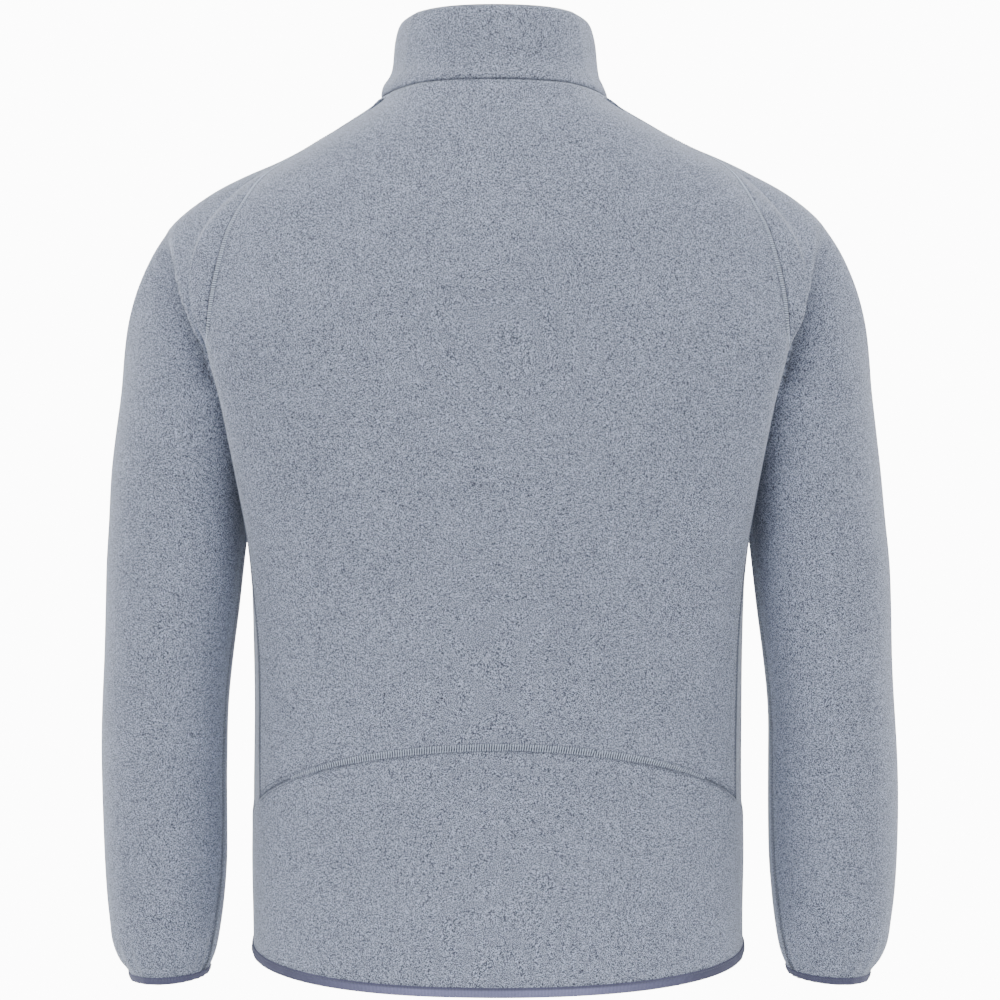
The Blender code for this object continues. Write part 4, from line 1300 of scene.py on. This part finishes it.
back = back_grid()
lower_back = lower_back_grid(back[-1])
upper_front = upper_front_grid()
lower_front = lower_front_grid(upper_front[-1])
back_neck = back[0, BACK_COLUMNS // 2 :]
neck_line = neck_edge(back_neck, upper_front[0])
sleeve = sleeve_grid(neck_line)
neck_half = np.concatenate([upper_front[0], neck_line[::-1][1:-1], back_neck[::-1]])
collar = collar_grid(np.concatenate([neck_half, mirrored(neck_half[-2::-1])]))

EACH = 5

back_down = places(len(back) - 1, EACH)
fine_back = leaned(finer(back, back_down, places(BACK_COLUMNS, EACH)))
fine_lower_back = finer(
    lower_back, places(TAIL_ROWS, EACH + 1), places(BACK_COLUMNS + 2, EACH)
)
columns = places(FRONT_COLUMNS, EACH)
more_columns = FRONT_COLUMNS + places(2 * UNDERARM_STEPS, EACH, low=False)[1:]
above = 2 * lower_front[0] - lower_front[1]
above[: FRONT_COLUMNS + 1] = upper_front[-2]
upper_long = np.concatenate([upper_front, lower_front[1:3, : FRONT_COLUMNS + 1]])
fine_upper_front = finer(upper_long, places(FRONT_RAGLAN_ROWS, EACH, high=False), columns)
fine_lower_front = finer(
    np.concatenate([above[None], lower_front]),
    1 + places(len(lower_front) - 1, EACH, low=False),
    np.concatenate([columns, more_columns]),
)
fine_lower_front[0, : len(columns)] = fine_upper_front[-1]
fronts = {
    "right": (fine_upper_front, fine_lower_front),
    "left": (mirrored(fine_upper_front), mirrored(fine_lower_front)),
}
armhole_corners = [
    UNDERARM_STEPS,
    UNDERARM_STEPS + RAGLAN_ROWS,
    UNDERARM_STEPS + RAGLAN_ROWS + NECK_STEPS,
    sleeve.shape[1] - UNDERARM_STEPS,
]
fine_sleeve = slanted(
    finer_sleeve(sleeve, places(len(sleeve) - 1, EACH), EACH, armhole_corners)
)
sleeves = {
    side: swayed(leaned(crisp(rows)))
    for side, rows in (("right", fine_sleeve), ("left", mirrored(fine_sleeve)))
}
fine_collar = leaned(
    finer(collar, places(len(collar) - 1, EACH), places(collar.shape[1] - 1, EACH))
)

cloth = Cloth()
cloth.add("back", [fine_back])
cloth.add("lower_back", [fine_lower_back])
for side, (upper, lower) in fronts.items():
    cloth.add("front_" + side, [leaned(upper), lower], flipped=side == "right")
for side, rows in sleeves.items():
    cloth.add("sleeve_" + side, [rows], closed=True, flipped=side == "left")
cloth.add("collar", [fine_collar])

to_armpit = back_down <= RAGLAN_ROWS
raglan_lines = [fine_back[to_armpit, 0], fine_back[to_armpit, -1]]
raglan_lines += [leaned(upper[:, -1:])[:, 0] for upper, _ in fronts.values()]
raglan_lines = np.concatenate([resampled(line, 1 * MM) for line in raglan_lines])
arch_places = resampled(fine_back[-1], 1 * MM)
side_lines = np.concatenate([resampled(fine_back[~to_armpit, at], 1 * MM) for at in (0, -1)])
trunk_points = np.concatenate(
    [cloth.panels[name][0] for name in ("back", "front_left", "front_right")]
)


def under_seam(grid):
    """The sleeve's own seam, from the armpit down the inner side to the cuff."""
    rows = np.arange(len(grid))[CAP_ROWS * EACH :]
    at = (0.4 + 1.9 * (rows - rows[0]) / (rows[-1] - rows[0])) * EACH
    whole = at.astype(int)
    share = (at - whole)[:, None]
    return grid[rows, whole] * (1 - share) + grid[rows, whole + 1] * share


under_seams = {side: under_seam(rows) for side, rows in sleeves.items()}


def near_body(points):
    """How deep cloth lies in the narrow slit between the sleeve and the body, 0 to 1: the painted
    shadow there.
    """
    low = trunk_points[trunk_points[:, 2] < -150 * MM]
    slit = slope(distance_to(low, points) / MM, 26, 4)
    return slit * slit * slope(points[:, 2] / MM, -178, -218)


def paint(made, name, values):
    """Gives each vertex a number that its material reads."""
    layer = made.data.attributes.new(name, "FLOAT", "POINT")
    layer.data.foreach_set("value", np.asarray(values, np.float32).ravel())


def band(points, line, wide, soft):
    """1 along a line, and 0 from a width on; in mm."""
    return slope(distance_to(line, points) / MM, wide, wide - soft)


def sewn_shade(points):
    """How much the threads of the body's seams darken the cloth under them."""
    x, height = np.abs(points[:, 0]) / MM, points[:, 2] / MM
    raglan = band(points, raglan_lines, 0.8 + 5.1 * slope(height, -34, -74), 1.0)
    arched = band(points, arch_places, 3.7, 0.8) * (0.25 + 0.45 * slope(x, 150, 130))
    return np.maximum.reduce([raglan, arched, band(points, side_lines, 2.9, 0.8)])


def sleeve_shade(points, seam):
    """The sleeve seam's darkening, painted shadow by the fold and body, and a painted lit lip
    below 0.
    """
    shade = fold_shade(points)
    sewn = 0.85 * band(points, resampled(seam, 1 * MM), 2.0, 1.0)
    return np.where(shade < 0, shade, np.maximum.reduce([near_body(points), sewn, shade]))


shells = {}
for name in cloth.panels:
    if name == "collar":
        shell = Shell(name, cloth, COLLAR_FLEECE, extra=COLLAR_PROUD, rounding=1.5)
    else:
        shell = Shell(name, cloth, FLEECE)
    points, from_edge = shell.points, shell.edge / MM
    made = piece(name + "_cloth", shell.vertices, shell.faces, FLEECE_LOOK)
    if name.startswith("sleeve"):
        from_edge = np.maximum(from_edge, 1.2 * slope(points[:, 2] / MM, -40, -15))
        # deep holds the painted shadow in the fold and the slit, the painted highlight on the
        # fold's lip, and the seam's dark line.
        shade = {"deep": sleeve_shade(points, under_seams[name[7:]])}
    elif name == "collar":
        shade = {"sewn": np.zeros(len(points))}
    else:
        shade = {"sewn": sewn_shade(points)}
    for called, values in {"rim": from_edge.clip(0, 30), **shade}.items():
        paint(made, called, np.tile(values, 2))
    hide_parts(name)
    shell.made = made
    shells[name] = shell


def map_run(made, corners, run):
    """A map whose first coordinate is the run along a binding, in metres."""
    uv = made.data.uv_layers.new(name="run")
    for loop in made.data.loops:
        place, corner = divmod(loop.vertex_index, corners)
        uv.data[loop.index].uv = (run[place], corner / corners)


def turn_outward(made):
    """Turns a closed mesh's faces outward by the sign of its volume."""
    mesh = made.data
    mesh.calc_loop_triangles()
    points = np.empty(len(mesh.vertices) * 3, np.float32)
    mesh.vertices.foreach_get("co", points)
    points = points.reshape(-1, 3).astype(float)
    triangles = np.empty(len(mesh.loop_triangles) * 3, np.int32)
    mesh.loop_triangles.foreach_get("vertices", triangles)
    corners = points[triangles.reshape(-1, 3)]
    if np.linalg.det(corners).sum() < 0:
        mesh.flip_normals()


# The bindings' stitches: the gap at each end, their rise in mm, and their radius.
BINDING_STITCH = (0.12, (-0.3, 0.1, 0.2, 0.1, -0.3), 0.22 * MM)
BINDING_PITCH = 2.3 * MM
# How much painted shade darkens the cuffs' bindings and every binding's upper lip at least.
CUFF_PAINTED_SHADE = 0.9
LIP_PAINTED_SHADE = 0.85


def bound_edge(name, edge, above, normals, height, closed):
    """The elastic folded round an edge, with full rounded lips and a slight ripple."""
    down = edge - above
    down = unit(down - (down * normals).sum(1)[:, None] * normals)
    run = run_along(edge)
    outside, inside, low = 0.15 * MM, -FLEECE - 0.15 * MM, SEAM_GAP
    top = BINDING - height
    profile = (
        (outside, top),
        (outside + 0.35 * BINDING, top - 0.25 * BINDING),
        (outside + 0.75 * BINDING, top + 0.1 * BINDING),
        (outside + 0.62 * BINDING, top + 1.1 * MM),
        (outside + 0.95 * BINDING, top + 2.3 * MM),
        (outside + 1.05 * BINDING, -0.3 * height),
        (outside + BINDING, -0.05 * height),
        (outside + 0.7 * BINDING, low + 0.55 * BINDING),
        (outside + 0.1 * BINDING, low + 0.95 * BINDING),
        (-FLEECE / 2, low + 1.05 * BINDING),
        (inside - 0.1 * BINDING, low + 0.95 * BINDING),
        (inside - 0.7 * BINDING, low + 0.55 * BINDING),
        (inside - BINDING, -0.05 * height),
        (inside - 0.95 * BINDING, -0.5 * height),
        (inside - 0.75 * BINDING, top + 0.1 * BINDING),
        (inside - 0.3 * BINDING, top - 0.2 * BINDING),
        (inside, top),
        (inside, low),
        (outside, low),
    )
    ripple = 0.16 * MM * np.sin(run / (3.1 * MM) + 1.4 * np.sin(run / (17 * MM)))
    sections = [
        edge + (out + (ripple[:, None] if 0 < i < 8 else 0)) * normals + lower * down
        for i, (out, lower) in enumerate(profile)
    ]
    sections = np.stack(sections, 1)
    count, corners = sections.shape[:2]
    faces = []
    for i in range(count if closed else count - 1):
        a, b = i * corners, (i + 1) % count * corners
        for j in range(corners):
            k = (j + 1) % corners
            faces.append([a + j, a + k, b + k, b + j])
    if not closed:
        faces.append(list(range(corners))[::-1])
        faces.append([(count - 1) * corners + j for j in range(corners)])
    made = piece(name + "_elastic", sections.reshape(-1, 3), faces, BINDING_LOOK)
    turn_outward(made)
    map_run(made, corners, run)
    # Painted shade: the elastic is darker where it turns away to the sides, on the cuffs and on
    # its upper lip.
    # In mm: the middle's x, how far from it the binding faces back, and how far it turns.
    middle, flat, turning = (252, 8, 24) if closed else (0, 66, 88)
    away = slope(np.abs(np.abs(edge[:, 0]) / MM - middle), flat, flat + turning)
    away = np.repeat(away[:, None], corners, axis=1).clip(CUFF_PAINTED_SHADE if closed else 0, 1)
    away[:, :4] = np.maximum(away[:, :4], LIP_PAINTED_SHADE)
    paint(made, "turned", away)
    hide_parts(name)
    outer = edge + (outside + 0.62 * BINDING) * normals + (top + 1.3 * MM) * down
    outer_line = np.concatenate([outer, outer[:1]]) if closed else outer
    points = resampled(outer_line, BINDING_PITCH)
    nearest = tree_of(outer)
    threads = []
    for start, end in zip(points[:-1], points[1:]):
        normal = normals[nearest.find(Vector(start))[1]]
        threads.append(stitch(start, end, normal, *BINDING_STITCH))
    sewn = piece(name + "_stitches", *gather_meshes(threads), DARK_THREAD_LOOK)
    return made, sewn


def fine_hem(row):
    front, behind = fine_lower_front[row], fine_lower_back[row]
    return np.concatenate([front, behind[-2::-1], mirrored(front)[-2::-1]])


def on_cloth(edge, normals, extra=0.0):
    """A panel's edge, lifted with its folds."""
    return edge + (fold_depth(edge, normals) + undulation(edge) + extra)[:, None] * normals


hem_edge = fine_hem(-1)
hem_normals = cloth.normals_of(hem_edge)
hem_bound, hem_sewn = bound_edge(
    "hem_binding",
    on_cloth(hem_edge, hem_normals),
    fine_hem(-8),
    hem_normals,
    HEM_BINDING_HEIGHT,
    False,
)
for side, rows in sleeves.items():
    normals = cloth.normals_of(rows[-1])
    line = on_cloth(rows[-1], normals, gathered(rows[-1]))
    bound_edge(
        "cuff_binding_" + side, line, rows[-8], normals, CUFF_BINDING_HEIGHT, True
    )


# ------------------------------------------------------------ seams and stitches


def sewing(name, parts, look=DARK_THREAD_LOOK):
    piece(name, *gather_meshes(parts), look)


# Rows of stitches: how far out of the seam, their pitch and their radius, in mm.
STITCH_ROWS = {
    "arch": ((-3.1, 0.0, 3.1), 2.2, 0.34),
    "raglan": ((5.4,), 2.2, 0.25),
    "side": ((1.4, 3.2), 2.4, 0.4),
    "zip": ((6.0,), 2.8, 0.24),
    "sleeve": ((-2.2, 2.2), 2.4, 0.26),
    "collar": ((1.3,), 2.4, 0.2),
}
# Cover threads: their pitch, radius and slant, in mm, and the raglan's two needle rows.
ARCH_COVER = (1.85, 0.38, 0.5)
RAGLAN_COVER = (1.7, 0.42, 0.4)
RAGLAN_NEEDLES = (0.6, 5.2)
# The arch's bars: half their length, and how far out they start to shorten and end, in mm.
ARCH_HALF, ARCH_HALF_END = 2.9, 0.8
ARCH_FULL_X, ARCH_END_X = 104, 156


def rows_of(face, line, seam, out=1):
    """A seam's rows of stitches; out is 1 or -1, for the side of the line."""
    offsets, pitch, radius = STITCH_ROWS[seam]
    rows = [stitches(face, line, out * offset, pitch, radius) for offset in offsets]
    return [thread for row in rows for thread in row]


arch_line = fine_back[-1][3:-3]
arch_face = Face(shells["back"], shells["lower_back"])
sewing("arch_needle_threads", rows_of(arch_face, arch_line, "arch"))
barred = arch_line[np.abs(arch_line[:, 0]) < ARCH_END_X * MM]
bar_x = np.abs(resampled(barred, ARCH_COVER[0] * MM)[:, 0]) / MM
half = ARCH_HALF + (ARCH_HALF_END - ARCH_HALF) * slope(bar_x, ARCH_FULL_X, ARCH_END_X)
sewing("arch_cover_threads", ladder(arch_face, barred, -half, half, *ARCH_COVER), THREAD_LOOK)


def raglan_sewing(name, side, face, line, laid, out):
    """A raglan seam's bars, along laid, and its needle row, along line."""
    low, high = (out * needle for needle in RAGLAN_NEEDLES)
    bars = ladder(face, laid, low, high, *RAGLAN_COVER)
    sewing(name + "_cover_" + side, bars, THREAD_LOOK)
    sewing(name + "_needle_" + side, rows_of(face, line, "raglan", out))


for side, out in (("right", 1), ("left", -1)):
    edge = fine_back[:, -1 if side == "right" else 0]
    face = Face(shells["back"])
    line = edge[to_armpit][2:-2]
    raglan_sewing("raglan_back", side, face, line, beside(face, line, 0.0), -out)
    line = edge[back_down >= RAGLAN_ROWS][2:-2]
    sewing("side_seam_stitch_" + side, rows_of(face, line, "side", -out))
    upper, lower = fronts[side]
    face = Face(shells["front_" + side])
    line = upper[2:-2, -1]
    raglan_sewing("raglan_front", side, face, line, line, out)
    line = np.concatenate([upper[1:-1, 0], lower[:-4, 0]])
    sewing("zip_topstitch_" + side, rows_of(face, line, "zip", out))
for side, line in under_seams.items():
    face = Face(shells["sleeve_" + side])
    sewing("sleeve_seam_stitch_" + side, rows_of(face, line[2:-3], "sleeve"))
collar_face = Face(shells["collar"])
sewing("collar_seam_stitch", rows_of(collar_face, fine_collar[0][3:-3], "collar"))

# ------------------------------------------------------------------------- zip

zip_rows = [*lower_front[::-1], *upper_front[-2::-1], *collar[1:, : FRONT_COLUMNS + 1]]
heights = np.array([row[0, 2] for row in zip_rows])
heights[0] += 9 * MM
heights[-1] -= 3 * MM

# The centre of the zip, on the cloth's outer face. The coils lie on the tapes behind it.
centre = np.array([across_row(row, ZIP_EDGE) for row in zip_rows])
centre = np.column_stack([0 * heights, np.interp(heights, centre[:, 2], centre[:, 1]), heights])
tape_depth = FLEECE + 0.4 * MM + 0.6 * MM * slope(heights / MM, -70, -50)
coil_face = centre - (tape_depth - 1.2 * MM)[:, None] * outward_of(centre)
# One coil in mm: its middle off the centre line and out of it, its two radii, its wire.
COIL = {"pitch": 1.35, "off": 1.15, "reach": 1.35, "depth": 0.15, "height": 0.55, "wire": 0.33}
COIL_PLACES = 9
chain = resampled(coil_face, COIL["pitch"] * MM)
along = unit(np.gradient(chain, axis=0))
forward = np.cross(along, np.array([1.0, 0, 0]))
forward *= np.sign(forward[:, 1:2])
angle = np.linspace(-0.25 * math.pi, 1.15 * math.pi, COIL_PLACES)[:, None]
pitched = np.linspace(-0.3, 0.3, COIL_PLACES)[:, None] * MM
reach = (COIL["off"] + COIL["reach"] * np.cos(angle)) * MM
depth = (COIL["depth"] + COIL["height"] * np.sin(angle)) * MM
coils = []
for i, (place, up, ahead) in enumerate(zip(chain, along, forward)):
    across = np.array([1.0 if i % 2 else -1.0, 0, 0])
    loop = place + across * reach + ahead * depth + up * pitched
    coils.append(tube(loop, np.broadcast_to(up, loop.shape), COIL["wire"] * MM, sides=6))
coil = piece("zip_coils", *gather_meshes(coils), COIL_LOOK)

for name, look in (
    ("zip_chain", COIL_LOOK),
    ("zip_box", COIL_LOOK),
    ("zip_slider", METAL_LOOK),
    ("zip_pull", METAL_LOOK),
    ("zip_top_stop_left", METAL_LOOK),
    ("zip_top_stop_right", METAL_LOOK),
    ("zip_tape_left", TAPE_LOOK),
    ("zip_tape_right", TAPE_LOOK),
):
    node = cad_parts[name]
    node.data.materials.clear()
    node.data.materials.append(look)
# The zip's solids keep the CAD's form; the slider and its pull get rounded edges.
for name in ("zip_slider", "zip_pull"):
    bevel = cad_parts[name].modifiers.new("soft_edges", "BEVEL")
    bevel.width = 0.3 * MM
    bevel.segments = 2
    bevel.limit_method = "ANGLE"
    bevel.angle_limit = math.radians(40)

# --------------------------------------------------------- camera, light, floor

# The picture is FRAME_WIDTH metres wide at the jacket's middle.
FRAME_WIDTH = 0.764
SENSOR = 36.0
CAMERA_DISTANCE = 3.0
CAMERA_X = 0.0015
CAMERA_HEIGHT = -0.3056
camera_data = bpy.data.cameras.new("camera")
camera_data.sensor_width = SENSOR
camera_data.lens = SENSOR * CAMERA_DISTANCE / FRAME_WIDTH
camera_data.clip_start = 0.05
camera_data.clip_end = 50.0
camera = bpy.data.objects.new("camera", camera_data)
camera.location = (CAMERA_X, -CAMERA_DISTANCE, CAMERA_HEIGHT)
camera.rotation_euler = (math.pi / 2, 0, 0)
bpy.context.scene.collection.objects.link(camera)
bpy.context.scene.camera = camera

# An even pale room, with a bright sheet behind the jacket, round +Y.
ROOM_LIGHT, SHEET_LIGHT = 0.72, 12.0
SHEET_EDGE, SHEET_FULL = math.radians(16), math.radians(12.5)
world = bpy.data.worlds.new("studio")
world.use_nodes = True
sky = world.node_tree
ray = sky.nodes.new("ShaderNodeTexCoord").outputs["Generated"]
axis = sky.nodes.new("ShaderNodeSeparateXYZ")
sky.links.new(ray, axis.inputs[0])
sheet_light = sky.nodes.new("ShaderNodeMapRange")
sheet_light.inputs["From Min"].default_value = math.cos(SHEET_EDGE)
sheet_light.inputs["From Max"].default_value = math.cos(SHEET_FULL)
sheet_light.inputs["To Min"].default_value = ROOM_LIGHT
sheet_light.inputs["To Max"].default_value = SHEET_LIGHT
sky.links.new(axis.outputs["Y"], sheet_light.inputs["Value"])
sky.nodes["Background"].inputs["Color"].default_value = (1, 1, 1, 1)
sky.links.new(sheet_light.outputs[0], sky.nodes["Background"].inputs["Strength"])
bpy.context.scene.world = world

LIGHT_AIM = (0, 0, -0.3)
LIGHTS = (
    # name, x, y, z, width, height, watts
    ("rim_left", -2.4, 1.2, -0.2, 1.2, 2.2, 45.0),
    ("rim_right", 2.4, 1.2, -0.2, 1.2, 2.2, 50.0),
    ("key", -0.5, -3.2, 0.5, 2.6, 1.8, 38.0),
    ("top", 0.0, -0.1, 2.3, 1.8, 1.0, 31.0),
)
for name, x, y, z, width, height, watts in LIGHTS:
    light = bpy.data.lights.new(name, "AREA")
    light.shape = "RECTANGLE"
    light.size, light.size_y, light.energy = width, height, watts
    lamp = bpy.data.objects.new(name, light)
    lamp.location = (x, y, z)
    aim = Vector(LIGHT_AIM) - Vector((x, y, z))
    lamp.rotation_euler = aim.to_track_quat("-Z", "Y").to_euler()
    bpy.context.scene.collection.objects.link(lamp)

FLOOR_RADIUS, FLOOR_HEIGHT, FLOOR_CORNERS = 0.47, -0.76, 96
floor_mesh = bpy.data.meshes.new("floor")
angles = np.linspace(0, 2 * math.pi, FLOOR_CORNERS + 1)[:-1]
ring = [(FLOOR_RADIUS * math.cos(a), FLOOR_RADIUS * math.sin(a), FLOOR_HEIGHT) for a in angles]
floor_mesh.from_pydata(ring, [], [list(range(FLOOR_CORNERS))])
floor = bpy.data.objects.new("floor", floor_mesh)
bpy.context.scene.collection.objects.link(floor)
n = Nodes("floor")
floor_mesh.materials.append(
    n.finish(Base_Color=n.mixed(n.noise(30.0, 3.0), grey(0.80), grey(0.84)), Roughness=0.9)
)
